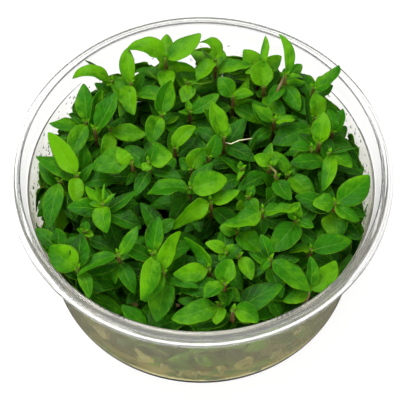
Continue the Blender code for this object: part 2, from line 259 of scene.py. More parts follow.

# bits of gel on the wall, near white so that they also stand as painted highlights: place from side to
# side, height and size
SMEARS_AND_HIGHLIGHTS = (
    (-17.4, 14.5, 2.6), (-11.3, 12.4, 1.1), (5.2, 11.8, 1.8), (11.6, 14.4, 2.2), (21.0, 11.5, 2.0),
    (-29.4, 19.0, 2.4), (-7.7, 8.4, 1.5), (-1.6, 9.0, 1.4), (27.0, 22.0, 1.6),
)
SMEAR_TALL = 1.7
SMEAR_SIDES = 20
SMEAR_UNEVEN = 0.9
SMEAR_FLAT = 0.4

# colours, and the shaders' own values
# LEAF_DARK is the deep green of old leaves and also serves as painted shade deep in the stand
LEAF_DARK = (0.0055, 0.045, 0.0003)
LEAF_GREEN = (0.0155, 0.115, 0.0003)
LEAF_LIGHT = (0.08, 0.25, 0.0005)
LEAF_UNDER = (0.045, 0.125, 0.003)
# pale colour of veins, midrib and stalk, also used for the painted highlight along leaf edges
LEAF_VEIN_AND_EDGE_HIGHLIGHT = (0.12, 0.31, 0.015)
STEM_BROWN = (0.11, 0.045, 0.018)
STEM_GREEN = (0.13, 0.22, 0.02)
ROOT_TAN = (0.55, 0.45, 0.28)
ROOT_WHITE = (0.75, 0.72, 0.5)
PLASTIC = (0.93, 0.925, 0.91)
PLASTIC_DEPTH = (0.5, 0.5, 0.48)
PLASTIC_DENSITY = 25.0
FOG = (0.6, 0.57, 0.33)
# olive of the fog at the front: painted light, the green of the plants that the fog scatters
FOG_PAINTED_OLIVE_LIGHT = (0.5, 0.46, 0.12)
STAIN = (0.98, 0.94, 0.6)
# painted reflection: colour of the dark line round the mouth
PAINTED_MOUTH_LINE = (0.12, 0.12, 0.12)
GEL_DARK = (0.36, 0.3, 0.15)
GEL_PALE = (0.52, 0.45, 0.26)
# near-white colours of the gel bits: partly their own colour, partly a painted highlight
SMEAR = (0.98, 0.94, 0.8)
SMEAR_EDGE = (0.95, 0.88, 0.66)
WATER = (0.95, 0.97, 0.95)
FLOOR_COLOR = (0.36, 0.36, 0.36)
WHITE = (1.0, 1.0, 1.0)
LEAF_SHADER = {
    "Subsurface Weight": 0.2,
    "Subsurface Radius": (0.5, 1.0, 0.1),
    "Subsurface Scale": 0.0008,
    "Specular IOR Level": 0.3,
    "IOR": 1.2,
}
STEM_SHADER = {"Roughness": 0.4, "Subsurface Weight": 0.1, "Subsurface Scale": 0.001}
ROOT_SHADER = {"Roughness": 0.5, "Subsurface Weight": 0.2, "Subsurface Scale": 0.001}
SMEAR_SHADER = {"Roughness": 0.4, "Subsurface Weight": 0.3, "Subsurface Scale": 0.001}
PLASTIC_SHADER = {"Base Color": (*PLASTIC, 1.0), "IOR": 1.3}
GEL_SHADER = {"Roughness": 0.2, "Transmission Weight": 0.35, "IOR": 1.34}
WATER_SHADER = {
    "Base Color": (*WATER, 1.0),
    "Transmission Weight": 1.0,
    "IOR": 1.33,
    "Roughness": 0.02,
}
FLOOR_SHADER = {
    "Base Color": (*FLOOR_COLOR, 1.0),
    "Roughness": 0.9,
    "Specular IOR Level": 0.1,
    "Emission Color": (*WHITE, 1.0),
    "Emission Strength": 0.67,
}

# soft noise: size of its patches in millimetres, detail and seed; and bumps: strength and depth
LEAF_NOISE = (2.5, 4.0)
SHEEN_NOISE = (1.2, 2.0, 3.0)
LEAF_GRAIN = (1.1, 3.0)
LEAF_BUMP = (0.6, 0.6 * MM)
STEM_NOISE = (6.0, 2.0)
ROOT_NOISE = (2.0, 2.0)
FOG_NOISE = (7.0, 4.0, 1.0)
WALL_GRAIN = (0.7, 2.0, 2.0)
WALL_BUMP = (0.2, 0.2 * MM)
GEL_NOISE = (8.0, 3.0)
SMEAR_NOISE = (1.5, 3.0)

# leaf look; a ramp is the zone that a value crosses, and what it gives at the zone's two ends
LEAF_PATCH = 0.9
# painted light and shade: one half and one end of each leaf lighter than the other, set by a random
# number per leaf
HALVES_PAINTED_SHADE = 0.6
ENDS_PAINTED_SHADE = 0.7
END_SHADE_SCRAMBLE = 7.3
UNDER_PALE = 0.35
GREEN_RAMP = (0.0, 0.5)
LIGHT_RAMP = (0.45, 1.0)
MIDRIB_RAMP = ((0.03, 0.16), 0.42, 0.0)
MIDRIB_FADE = ((0.55, 0.95), 1.0, 0.2)
VEIN_RAMP = ((0.0, 0.12), 0.16, 0.0)
# painted highlight: a pale band along each leaf's edges
RIM_HIGHLIGHT_RAMP = ((0.9, 1.0), 0.0, 0.35)
STALK_RAMP = ((0.03, 0.16), 0.55, 0.0)
LEAF_ROUGH = (0.25, 0.3)
STEM_RAMP = (42.0, 56.0)
STEM_MOTTLE = 0.5

# looks of the plastic, with ramps over the wall's height, over how far to the back a point is, or
# over how far from the middle to a side
FOG_PATCHES = ((0.3, 0.7), 0.5, 1.0)
FOG_BY_HEIGHT = ((6.0, 42.0), 1.0, 0.45)
FOG_TO_BACK = ((0.0, 40.0), 1.0, 0.1)
FOG_TO_SIDE = ((22.0, 42.0), 0.12, 0.45)
# the fog's painted olive light fades to beige toward the back over this zone
PAINTED_OLIVE_TO_BACK = (-45.0, -15.0)
HAZE_BY_HEIGHT = ((40.0, 42.0), 1.0, 0.92)
STAIN_BY_HEIGHT = ((39.0, 41.0), 0.75, 0.0)
STAIN_TO_BACK = ((-40.0, 10.0), 1.0, 0.0)
FOG_ROUGHNESS = (0.03, 0.01)
# painted reflection: where the dark line round the mouth lies
MOUTH_LINE_RADIUS = MOUTH_RADIUS + 0.1
MOUTH_LINE_HALF = 0.15
MOUTH_LINE_LEVEL = CUP_HEIGHT - 1.0

# cup and gel meshes
CUP_FACETS = 180
GEL_FACETS = 120
EDGE_ROUND = 0.18
CUT_SHARE = 0.4
ROUND_STEPS = 3
GEL_RINGS = (0.15, 0.3, 0.45, 0.6, 0.75, 0.85)
GEL_WAVE = 0.35
GEL_WAVE_SCALE = 0.12
GEL_WAVE_DEPTH = 0.5
FOGGED_HEIGHTS = (WALL + CORNER_ROUND + 0.1, CUP_HEIGHT - LEDGE_DEPTH + LEDGE_RISE / 2)

# stage: light strength, then name, place in metres, side and power of each soft lamp, and whether
# shiny surfaces mirror it
WORLD_LIGHT = 0.95
HORIZON_SHADE = (0.06, 0.06, 0.06)
HORIZON_ZONE = (0.1, 0.3)
LIGHTS = [
    ("top_light", (-0.22, 0.22, 0.6), 0.35, 4.0, True),
    ("front_light", (0.0, -0.5, 0.1), 0.3, 3.3, False),
]
FLOOR_SIDE = 4.0
FLOOR_SINK = 0.0002
NEAREST_SEEN = 0.01
CAMERA_AIM = 28.36
CAMERA_LENS = 112.07
CAMERA_ROLL = math.radians(-0.831)

# point that the places of the shoots were read from, and the level that they were read on
EYE = Vector((-0.35, -187.4, 349.8))
READ_LEVEL = 42.0

# each shoot: its top as x, y on the reading level and real height, then its leaves as the x and y
# of the tip on the reading level, the width, and the node that it grows from, counted down
SHOOTS = [
    ((-10.3, 42.5, 50), [(-22.3, 46.3, 5.5, 0), (0.6, 52, 6.3, 0), (-0.8, 37.3, 2, 1), (-7, 36.6, 3, 1),
        (-18.3, 36.5, 6, 3)]),
    ((-20.8, 33.5, 47), [(-22, 46.8, 4.2, 0), (-19.6, 21.7, 4.6, 0)]),
    ((-26.5, 34.3, 46), [(-38.6, 35.3, 4.2, 0), (-21, 23.5, 5, 0), (-35, 42.2, 1.8, 1)]),
    ((-33.8, 19.5, 46), [(-35.2, 33.5, 5, 0), (-38.3, 6.5, 5, 0), (-44.9, 19.2, 6.2, 1),
        (-39.3, 22.4, 3, 1)]),
    ((-31.3, 17, 47), [(-25.4, 30.2, 5.5, 0), (-42.3, 14, 5, 1), (-29.2, 31, 2.8, 1)]),
    ((-36, 1, 47), [(-35.3, -9, 4.2, 0), (-45, 16, 5, 0), (-31, 5.2, 2.6, 1), (-48.2, 7.5, 5.2, 1),
        (-40.5, -19, 4.6, 2), (-34.1, 12.4, 3.2, 2)]),
    ((-40.8, -0.8, 44), [(-43.2, -16.6, 5.2, 0)]),
    ((-26.5, 16.8, 45), [(-29.2, 6, 4, 0), (-16, 15, 5.2, 0), (-23, 21, 4, 1)]),
    ((-20, 5.3, 48), [(-31.6, 3.2, 7.3, 0), (-24.2, 10.2, 3.8, 0), (-21.6, -2.6, 2, 1)]),
    ((-15.2, 5.3, 49), [(-8.1, 7.1, 7, 0), (-13.8, 10.7, 3.4, 0), (-17, 2.4, 3, 0)]),
    ((-11.3, 21.6, 47), [(-14, 11.2, 5.2, 0), (-8.5, 34.3, 5.6, 0), (-6.3, 21, 2.2, 1),
        (-16.5, 30, 5, 2)]),
    ((-3.5, 33.3, 46), [(-5.3, 26.1, 4.5, 0), (-2.8, 27.6, 2.4, 0), (4.4, 33.8, 2.4, 0)]),
    ((5, 41.8, 49), [(0.1, 48.4, 4.2, 0), (-0.8, 34, 5.5, 0), (1.1, 46, 2.2, 1), (13.4, 37.3, 5, 1)]),
    ((18.5, 39.2, 48), [(20.6, 50.7, 2, 0), (14, 36.5, 3.5, 0), (13.8, 45.5, 6, 1)]),
    ((19.5, 31.5, 46), [(20, 41.3, 6.5, 0), (19, 30.5, 1.8, 1), (16.5, 29.5, 2.4, 1)]),
    ((26.2, 35.7, 49), [(24.8, 51.3, 3, 0), (31.3, 34.5, 1.8, 0), (29.8, 22.3, 4.5, 1),
        (32, 32.9, 1.8, 1), (29.3, 21.8, 3.6, 3)]),
    ((34.3, 30.5, 48), [(42.6, 39.1, 4.2, 0), (40.3, 31.5, 4.5, 1)]),
    ((34.3, 19.8, 46), [(34.5, 29, 5, 0), (35.8, 7.9, 3.8, 0), (32.8, 30, 3, 1), (21, 10.6, 7, 1)]),
    ((35, 11, 47), [(36.8, 21.8, 5, 0)]),
    ((39, 14.5, 45), [(42.7, 22.9, 4.6, 0), (38.2, 22.8, 4, 0), (44.6, 9, 4, 1)]),
    ((37.5, 7.3, 48), [(43.8, 2.1, 4.8, 0), (34.8, -5.6, 4.4, 0)]),
    ((32.5, 9, 47), [(26, 8.6, 3.2, 0), (34, 10.2, 1.6, 0), (27.7, 1.5, 5, 1), (30.3, -1.5, 2.4, 1)]),
    ((22, 19.3, 45), [(16.3, 25, 5, 0), (28.3, 19.3, 3.2, 0)]),
    ((10, 27.8, 46), [(5.7, 35, 5, 0), (16.3, 28.6, 2.9, 0), (17, 26, 1.8, 1), (15.5, 38, 4, 1)]),
    ((-3, 22.6, 45), [(5.8, 29, 4, 0), (-3.6, 27, 1.8, 0), (-6.5, 22.8, 2, 0)]),
    ((7, 13.5, 48), [(3.8, 26.2, 5.2, 0), (7.6, 19, 3.8, 0), (1.2, 24, 2.8, 1)]),
    ((-7.5, 9.8, 45), [(-1.2, 17.2, 4.2, 0), (-9, 15.5, 3, 1)]),
    ((2.3, 6.5, 47), [(4.9, 14.5, 4.2, 0)]),
    ((-2.8, 2.3, 46), [(-6.3, 6.3, 3.4, 0), (1.9, 9.4, 4.8, 0), (-2.9, 8.2, 2.6, 1)]),
    ((-3.2, -3.7, 49), [(7.6, -0.9, 6.8, 0), (-15.6, -5.8, 6.8, 0), (-3.6, -5.9, 1.8, 0)]),
    ((2.8, -8.2, 48), [(11, -4.8, 4.8, 0), (-8.3, -17.5, 3.6, 0), (-2.5, -13.8, 2.4, 1)]),
    ((12, 2.5, 47), [(11.6, 5, 1.6, 0), (10.2, -1.8, 1.6, 0), (17.9, 15.9, 4.5, 2), (5.9, 6.2, 2, 1)]),
    ((20, 3.2, 47), [(15.6, 6.6, 3.6, 0), (22.6, 5.6, 2.6, 0), (20.9, 11.2, 3.2, 1),
        (24, 0.2, 1.6, 1)]),
    ((25.2, 0, 44), [(21, 8, 3, 0), (27, 3.5, 2.6, 0), (32.6, -7.7, 5.5, 0)]),
    ((22, -0.8, 46), [(25.8, -8.3, 5, 0), (19, -9.5, 4.5, 1)]),
    ((17.4, -11.4, 48), [(28, -10.5, 5.3, 0), (6.1, -15.8, 5.5, 0), (17.3, -19.8, 4.6, 1)]),
    ((38.4, -9.5, 47), [(48.7, -0.3, 6.5, 0), (31.8, -9.8, 5.2, 0), (44.6, -15.5, 4, 0),
        (36.5, -3.3, 2.6, 1), (37.5, -21.6, 6.6, 1), (45, -21.5, 4.5, 2)]),
    ((26.8, -15, 46), [(18.6, -24.3, 6.8, 0), (28, -9.2, 3.8, 0), (31.7, -17.4, 2.6, 0)]),
    ((13.5, -7, 45), [(16.3, -12.3, 4, 0), (15.3, -3.3, 2.8, 0), (10, -11.5, 3, 1)]),
    ((10, -18.3, 44), [(17.5, -26, 5.5, 0), (5, -17, 4, 0)]),
    ((6.8, -25, 47), [(0.9, -22, 3.2, 0), (8.9, -22.3, 3, 0), (4.6, -27.6, 2.6, 0),
        (11.6, -21.3, 3, 1)]),
    ((6.1, -34.6, 47), [(8.3, -27.2, 5.2, 0), (0.3, -39.2, 4.2, 0), (5.7, -42, 4, 1),
        (10.5, -40, 3.5, 1)]),
    ((2, -30, 45), [(-8.1, -31.6, 4.8, 0), (-5, -20, 2.4, 0)]),
    ((-10.8, -30.5, 46), [(-5.8, -18.2, 3.8, 0), (-16, -40, 4.6, 0), (-12.5, -46, 6.5, 1)]),
    ((-13.8, -24.8, 48), [(-12.2, -13, 4.5, 0), (-16.8, -39.6, 5, 0), (-11.8, -27.5, 1.8, 0)]),
    ((-23.4, -25, 46), [(-34.7, -31.6, 4.4, 0), (-18.2, -16.2, 3.6, 0), (-24, -34.1, 3, 1),
        (-18.5, -37.5, 4.2, 1)]),
    ((-34.6, -29.4, 45), [(-42.5, -22, 7, 0), (-31.2, -38.6, 3.4, 0), (-27, -36.5, 3.5, 1)]),
    ((-28.2, -8.6, 49), [(-26.7, -18.2, 5, 0), (-30.8, -2.2, 1.8, 0), (-33.3, -2.7, 2.2, 0),
        (-32, -8.5, 2, 0), (-18.6, -4.5, 4, 1), (-17, -17, 5.5, 1)]),
    ((-33, -17.6, 45), [(-32.6, -14.3, 3, 0), (-35.3, -16.8, 2, 0), (-30.5, -19, 2, 0)]),
    ((-40.5, -22.5, 45), [(-41, -16.5, 4.2, 0)]),
    ((-11.5, -18.7, 44), [(-7.2, -14.6, 3.4, 0), (-17.5, -8.5, 4.5, 1)]),
    ((4.6, -41, 43), [(3.5, -47, 4, 0), (-8.6, -45.1, 6, 0), (-7, -39.5, 4, 1)]),
    ((8.2, -42.5, 45), [(14.8, -46.7, 4.8, 0), (22.2, -35.3, 6.8, 1)]),
    ((10.3, -26.2, 44), [(13.6, -33.7, 3.8, 0)]),
    ((19, -27.2, 47), [(29.6, -37.6, 6, 0), (16.4, -30.8, 2.3, 0)]),
    ((29.2, -36.8, 43), [(21.8, -40.3, 3.5, 0), (30, -26.5, 3.4, 0), (37, -28, 5.5, 0)]),
    ((30.5, -24.5, 43), [(42, -22, 5.5, 0), (24, -25.5, 3.8, 0)]),
]

# leaves that show between the listed ones: x and y of the base, x and y of the tip, the width and
# how light the leaf is, on the reading level
MORE_LEAVES = [
    (9.8, 18.9, 17, 20.5, 2.8, 0.7), (27.6, 17.8, 31, 24.8, 1.4, 0.8),
    (26.5, -9, 28.2, -16.2, 3.8, 0.6), (0.5, -19.5, 2, -11.6, 5, 0.4), (1, -15, -1.5, -21.5, 5.5, 0.3),
    (-12, -14, -14.5, -11, 2.8, 0.5), (-17.5, -14.7, -14, -8, 4.5, 0.3), (17, 3, 18.5, -6.8, 4.5, 0.2),
    (7.5, -1.5, 8.8, 4.8, 3, 0.2), (7, 8, 10, 9.5, 3, 0.5), (46, 3, 46.8, 9, 1.2, 0.1),
    (-33, -28, -34, -18, 5, 0.2), (-28.8, -38.3, -25.6, -41.3, 2.6, 0.7),
    (-14, -42, -20.6, -44.2, 3.4, 0.4), (-23.3, -34, -19.4, -39.8, 2.8, 0.4),
    (-29, -29, -30, -24.3, 4, 0.3), (-12.5, -41, -15.5, -46.5, 3.6, 0.4),
    (-11.2, -43, -11, -47.6, 1.8, 0.4), (-2, -35, -7.5, -36, 4.5, 0.1),
    (-1.5, -26, -7.8, -25, 4.5, 0.1), (8.5, -34.5, 16, -33, 3.6, 0.3),
    (17.5, -34, 14.6, -32.3, 2.4, 0.6), (20, -32.5, 16, -34, 3, 0.2), (22, -41.5, 16, -44, 4, 0.1),
    (17.5, -26, 16.5, -19.5, 3.5, 0.3), (-30.5, -11.5, -30, -16.7, 3, 0.2),
    (-23.5, -5, -27.5, -2.5, 3.5, 0.3), (-16, -3.5, -20.2, -0.3, 3, 0.3), (-19, 2, -17, 8.5, 4, 0.1),
    (-26.3, -6.8, -24.5, -5.3, 1.2, 0.7), (-29, -5.5, -27.9, -2, 0.9, 0.7), (-1, 17, -2, 23.5, 3, 0.1),
    (-27, 34, -28.3, 32.6, 1.4, 0.6),
]

# leaf mesh: rows along it, and places across it from edge to edge
FINE_ROWS = 22
FINE_ACROSS = (-1.0, -0.86, -0.64, -0.38, -0.13, 0.0, 0.13, 0.38, 0.64, 0.86, 1.0)
PLAIN_ROWS = 12
PLAIN_ACROSS = (-1.0, -0.65, -0.15, 0.15, 0.65, 1.0)

SEED = 5
UP = Vector((0.0, 0.0, 1.0))


@dataclass
class Leaf:
    """One leaf: where it grows from and reaches to, and how it is shaped and coloured."""

    base: Vector
    tip: Vector
    width: float
    light: float = 0.0
    fine: bool = True
    roll: float = 0.0
    arch: float = LEAF_ARCH
    sway: float = 0.0
    hook: float = 0.0
    cup: float = 0.2
    ripple: float = 0.1
    twist: float = 0.0
    skew: float = 0.0

    def set(self, measures):
        for name, value in measures.items():
            setattr(self, name, value)

    def vary(self, spreads, rng):
        """Draw measures between their least and most."""
        self.set({name: rng.uniform(*spread) for name, spread in spreads.items()})


class Obstacle:
    """Something a new leaf has to stay clear of, with a ball round it for a quick first test."""

    def __init__(self, points, faces):
        self.tree = BVHTree.FromPolygons(points, faces)
        self.middle = sum((Vector(point) for point in points), Vector()) / len(points)
        self.reach = max((Vector(point) - self.middle).length for point in points)


def turns(count):
    """Angles of a full turn in equal steps."""
    return [2 * math.pi * k / count for k in range(count)]


def polar(radius, angle, height=0.0):
    """Point at a radius, an angle and a height."""
    return Vector((radius * math.cos(angle), radius * math.sin(angle), height))


def wall_radius(height):
    """Inner radius of the cup's tapering wall, below the ledge."""
    share = height / (CUP_HEIGHT - LEDGE_DEPTH)
    foot = FOOT_RADIUS - WALL
    return foot + (LEDGE_RADIUS - foot) * share


def seen_at(x, y, height):
    """Point at a height that is seen at x, y of the reading level from the eye."""
    share = (EYE.z - height) / (EYE.z - READ_LEVEL)
    return Vector((EYE.x + (x - EYE.x) * share, EYE.y + (y - EYE.y) * share, height))


def reading_of(point):
    """Where a point is seen on the reading level."""
    share = (EYE.z - READ_LEVEL) / (EYE.z - point.z)
    return EYE + (point - EYE) * share


def stem_middle(foot, top, share):
    """Point of a stem that leans outward low down and straightens as it rises."""
    point = foot.lerp(top, math.sin(share * math.pi / 2))
    point.z = foot.z + (top.z - foot.z) * share
    return point


def stem_line(top):
    """Points of a stem from the gel to its top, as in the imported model."""
    foot = Vector((top.x * FOOT_SPREAD, top.y * FOOT_SPREAD, GEL_TOP + FIT_GAP))
    return [stem_middle(foot, top, share) for share in (0.0, 0.5, 1.0)]


def stem_point(line, height):
    """Point of a stem's middle line at a height."""
    for low, high in zip(line, line[1:]):
        if height <= high.z:
            return low.lerp(high, (height - low.z) / (high.z - low.z))
    return line[-1]


def stem_radius(height, line):
    return STEM_RADIUS * (1.0 + (STEM_TAPER - 1.0) * height / line[-1].z)


def node_height(line, node):
    """Height of a stem's node, counted down from its top."""
    return line[-1].z - STEM_TIP - node * NODE_GAP


def leaf_hull(base, tip, width, extra=0.0):
    """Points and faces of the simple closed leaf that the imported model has, for finding room."""
    along = tip - base
    across = along.cross(UP).normalized()
    upward = across.cross(along).normalized()
    points = [base]
    for share, wide in LEAF_SECTIONS:
        middle = base + along * share + upward * along.length * LEAF_ARCH
        half = across * (width * wide + extra)
        rise = upward * width * LEAF_CUP
        thick = upward * (LEAF_THICKNESS / 2 + extra)
        points += [middle - half + rise, middle + thick, middle + half + rise, middle - thick]
    points.append(tip + along.normalized() * extra)
    faces = []
    for i in range(4):
        j = (i + 1) % 4
        faces.append((0, 1 + i, 1 + j))
        faces.append((1 + i, 5 + i, 5 + j, 1 + j))
        faces.append((5 + i, 9, 5 + j))
    return points, faces


def tube_faces(rings, sides):
    """Faces of a closed tube of rings with the same number of points."""
    faces = [tuple(range(sides - 1, -1, -1))]
    for low in range(0, sides * (rings - 1), sides):
        for i in range(sides):
            j = (i + 1) % sides
            faces.append((low + i, low + j, low + sides + j, low + sides + i))
    faces.append(tuple(range(sides * (rings - 1), sides * rings)))
    return faces


def stem_hull(line):
    """Points and faces of a stem's simple square tube."""
    points = []
    for middle in line:
        radius = stem_radius(middle.z, line)
        corners = ((radius, 0, 0), (0, radius, 0), (-radius, 0, 0), (0, -radius, 0))
        points += [middle + Vector(corner) for corner in corners]
    return points, tube_faces(len(line), 4)


def node_obstacle(node):
    """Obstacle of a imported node's own mesh."""
    points = [vertex.co / MM for vertex in node.data.vertices]
    return Obstacle(points, [tuple(face.vertices) for face in node.data.polygons])


def leaf_obstacle(leaf):
    return Obstacle(*leaf_hull(leaf.base, leaf.tip, leaf.width))


def has_room(base, tip, width, others, clearance=CLEARANCE):
    """True where a swollen leaf meets nothing but its own stem, which isn't among the others."""
    middle = (base + tip) / 2
    reach = (tip - base).length / 2 + width
    near = [other for other in others if (other.middle - middle).length < other.reach + reach]
    if not near:
        return True
    tree = BVHTree.FromPolygons(*leaf_hull(base, tip, width, clearance))
    return not any(tree.overlap(other.tree) for other in near)


def lift_of(base, y):
    """How far a tip stands above its node: leaves that point away rise, others hang a little."""
    away = y - reading_of(base).y
    return LEAST_LIFT + (LIFT_BEHIND if away > 0 else LIFT_BEFORE) * away


def place_leaf(base, x, y, width, others):
    """Tip and width of a leaf seen at x, y, raised, lowered or shortened until it has room."""
    lift = lift_of(base, y)
    for size in TRY_SIZES:
        for step in TRY_STEPS:
            tip = seen_at(x, y, base.z + lift + TRY_STEP * step)
            tip = base.lerp(tip, size)
            if has_room(base, tip, width * size, others):
                return tip, width * size
    return None


def wanted_leaves(top, leaves, index):
    """A shoot's listed leaves, then older ones in crossed pairs lower down where it has few."""
    yield from leaves
    first = max(leaf[3] for leaf in leaves) + 1
    turn = index * OLD_LEAF_TURN
    for count in range(LEAVES_EACH - len(leaves)):
        angle = turn + (count % 2) * math.pi + (count // 2) * math.pi / 2
        node = first + count // 2
        height = top.z - node * NODE_GAP - OLD_LEAF_DROOP
        tip = reading_of(Vector((top.x, top.y, height)) + polar(OLD_LEAF_LENGTH, angle))
        yield tip.x, tip.y, OLD_LEAF_WIDTH, node


def listed_leaves(lines, stems, taken):
    """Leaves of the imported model: for each shoot its listed leaves, then its older ones."""
    grown = []
    for index, (line, (_, leaves)) in enumerate(zip(lines, SHOOTS)):
        around = taken + stems[:index] + stems[index + 1:]
        own = []
        for order, (x, y, width, node) in enumerate(wanted_leaves(line[-1], leaves, index)):
            base = stem_point(line, node_height(line, node))
            found = place_leaf(base, x, y, width, around)
            if found and order < len(leaves):
                own.append(shaped_leaf(index, order, base, *found, node))
            elif found:
                own.append(Leaf(base, *found, OLD_LIGHT))
        taken += [leaf_obstacle(leaf) for leaf in own]
        grown.append(own)
    return grown


def shaped_leaf(index, order, base, tip, width, node):
    """A listed leaf with its lightness and bend, darker at lower nodes as an older leaf and partly as
    painted shade, rolled on its side where it is seen edge on.
    """
    rng = random.Random(SEED + 100 * index + order)
    leaf = Leaf(base, tip, width * WIDER, TOP_LIGHT - LIGHT_STEP * node + rng.uniform(*LIGHT_SPREAD))
    leaf.vary(TOP_BENDS, rng)
    leaf.roll, leaf.twist = math.radians(leaf.roll), math.radians(leaf.twist)
    length = (tip - base).length
    usual = USUAL_SHAPE * length
    if length > SMALL_LENGTH and width < EDGE_ON * usual:
        leaf.width = EDGE_ON_WIDTH * usual
        leaf.roll = math.acos(width / leaf.width) * rng.choice((-1, 1))
    leaf.set(SPECIAL.get((index, order), {}))
    return leaf


def more_leaves(lines, grown):
    """Add the leaves that show between the listed ones to the nearest node of a stem."""
    nodes = []
    for index, line in enumerate(lines):
        for node in range(NODES_EACH):
            point = stem_point(line, node_height(line, node))
            nodes.append((index, point, reading_of(point)))
    for x, y, tip_x, tip_y, width, light in MORE_LEAVES:
        index, base, _ = min(nodes, key=lambda node: math.hypot(node[2].x - x, node[2].y - y))
        tip = seen_at(tip_x, tip_y, base.z + lift_of(base, tip_y))
        grown[index].append(Leaf(base, tip, width * WIDER, light, **MORE_BENDS))


def lower_leaves(lines, stems, taken, grown):
    """Fill the stand with crossed pairs of older leaves, down to the gel, where they have room."""
    rng = random.Random(SEED)
    for node in range(1, NODES_EACH + 1):
        for index, line in enumerate(lines):
            height = node_height(line, node)
            if height < LOWEST_NODE:
                continue
            around = taken + stems[:index] + stems[index + 1:]
            turn = node * math.pi / 2 + index * STEM_TURN
            for side in (0.0, math.pi):
                leaf = lower_leaf(stem_point(line, height), turn + side, rng, around, node)
                if leaf:
                    grown[index].append(leaf)
                    around.append(leaf_obstacle(leaf))
                    taken.append(around[-1])


def lower_leaf(base, angle, rng, around, node):
    """An old leaf near an angle, turned aside or made smaller until it has room."""
    for size in OLD_SIZES:
        for turn in OLD_TURNS:
            length = rng.uniform(*OLD_LENGTH) * size
            tip = base + polar(1.0, angle + turn, rng.uniform(*OLD_RISE)) * length
            width = length * rng.uniform(*OLD_SHAPE)
            if has_room(base, tip, width, around, TIGHT):
                # darker lower down: an older leaf, and partly painted shade deep in the stand
                light = OLD_LIGHT - OLD_LIGHT_STEP * node + rng.uniform(*OLD_LIGHT_SPREAD)
                leaf = Leaf(base, tip, width, light, node < FINE_NODES)
                leaf.vary(OLD_BENDS, rng)
                return leaf
    return None


def side_shoots(lines, grown):
    """Leaves of side shoots that reach the cup's wall; gives each stem's side shoots as lines."""
    rng = random.Random(SEED + 1)
    runners = [[] for _ in lines]
    for count, turn in enumerate(turns(RUNNERS)):
        angle = turn + rng.uniform(*RUNNER_SPREAD)
        height = RUNNER_LEVELS[count % len(RUNNER_LEVELS)] + rng.uniform(*RUNNER_LEVEL_SPREAD)
        end = polar(wall_radius(height) - RUNNER_GAP, angle, height)
        low = max(height - RUNNER_CLIMB, LOWEST_RUNNER)
        feet = [stem_point(line, low) for line in lines]
        index = min(range(len(lines)), key=lambda i: (feet[i] - end).length)
        runners[index].append(bent_line(feet[index], end))
        grown[index] += [wall_leaf(end, angle, order, rng) for order in range(WALL_LEAVES)]
        grown[index] += [inner_leaf(end, angle, order, rng) for order in range(INNER_LEAVES)]
    return runners


def bent_line(start, end):
    """Line that climbs from start to end over a point above their middle."""
    bend = (start + end) / 2 + UP * RUNNER_CLIMB / 2
    steps = [k / RUNNER_STEPS for k in range(RUNNER_STEPS + 1)]
    return [start.lerp(bend, t).lerp(bend.lerp(end, t), t) for t in steps]


def wall_leaf(base, angle, order, rng):
    """Plain leaf of a side shoot that lies against the wall, by turns to one side and the other."""
    side = -1 if order % 2 else 1
    turn = angle + side * rng.uniform(*WALL_TURN)
    height = base.z + rng.uniform(*WALL_RISE)
    tip = polar(wall_radius(height) + rng.uniform(*WALL_REACH), turn, height)
    leaf = Leaf(base, tip, (tip - base).length * rng.uniform(*WALL_SHAPE), fine=False)
    leaf.vary(WALL_BENDS, rng)
    leaf.roll = side * rng.choice((-1, 1)) * math.radians(rng.uniform(*WALL_ROLL))
    return leaf


def inner_leaf(base, angle, order, rng):
    """Plain leaf of a side shoot that turns back from the wall into the stand."""
    turn = angle + math.pi + (order - 1) * INNER_TURN + rng.uniform(*INNER_TURN_SPREAD)
    aim = polar(1.0, turn, rng.uniform(*INNER_RISE))
    length = rng.uniform(*INNER_LENGTH)
    leaf = Leaf(base, base + aim * length, INNER_SHAPE * length, fine=False)
    leaf.vary(INNER_BENDS, rng)
    return leaf


def bud_leaves(lines, grown):
    """A pair of tiny folded leaves at the top of each shoot."""
    for line, own in zip(lines, grown):
        top = line[-1]
        aim = own[0].tip - own[0].base
        side = Vector((-aim.y, aim.x, 0)).normalized()
        for sign in (1, -1):
            tip = top + side * sign * BUD_REACH + UP * BUD_RISE
            own.append(Leaf(top - UP * BUD_DEPTH, tip, BUD_WIDTH, BUD_LIGHT, cup=BUD_CUP))


def smooth(low, high, value):
    """Rises smoothly from 0 at low to 1 at high."""
    share = np.clip((value - low) / (high - low), 0.0, 1.0)
    return share * share * (3.0 - 2.0 * share)


def ridge(out, half):
    """Height of a smooth ridge along the middle line."""
    return np.exp(-(out / half) ** 2)


def leaf_half_width(u, width):
    """Half the width along a leaf: a narrow stalk, then an oval blade with a blunt point."""
    blade = np.clip((u - STALK_SHARE) / (1.0 - STALK_SHARE), 0.0, 1.0)
    half = width / 2 * np.sin(np.pi * blade ** BLADE_FULL).clip(0.0) ** BLADE_POWER
    stalk = STALK_HALF * (1.0 - u) + THINNEST
    return np.sqrt(half ** 2 + stalk ** 2)


def leaf_midrib(leaf, u):
    """Points of a leaf's middle line, and its unit directions along, across and upward."""
    base = np.array(leaf.base)
    along = np.array(leaf.tip) - base
    length = np.linalg.norm(along)
    across = np.cross(along, UP)
    across /= np.linalg.norm(across)
    upward = np.cross(across, along) / length
    # both reach 1 at their highest, the hook nearer the tip
    bow = (4.0 * u * (1.0 - u))[:, None]
    hook = (6.75 * u * u * (1.0 - u))[:, None]
    line = base + along * u[:, None]
    line = line + length * (leaf.arch * bow * upward + leaf.sway * bow * across)
    line = line + length * leaf.hook * hook * upward
    ahead = np.gradient(line, u, axis=0)
    ahead /= np.linalg.norm(ahead, axis=1)[:, None]
    side = across - ahead * (ahead @ across)[:, None]
    side /= np.linalg.norm(side, axis=1)[:, None]
    up = np.cross(side, ahead)
    turn = (leaf.roll * smooth(*ROLL_ZONE, u) + leaf.twist * u)[:, None]
    return line, side * np.cos(turn) + up * np.sin(turn), up * np.cos(turn) - side * np.sin(turn)


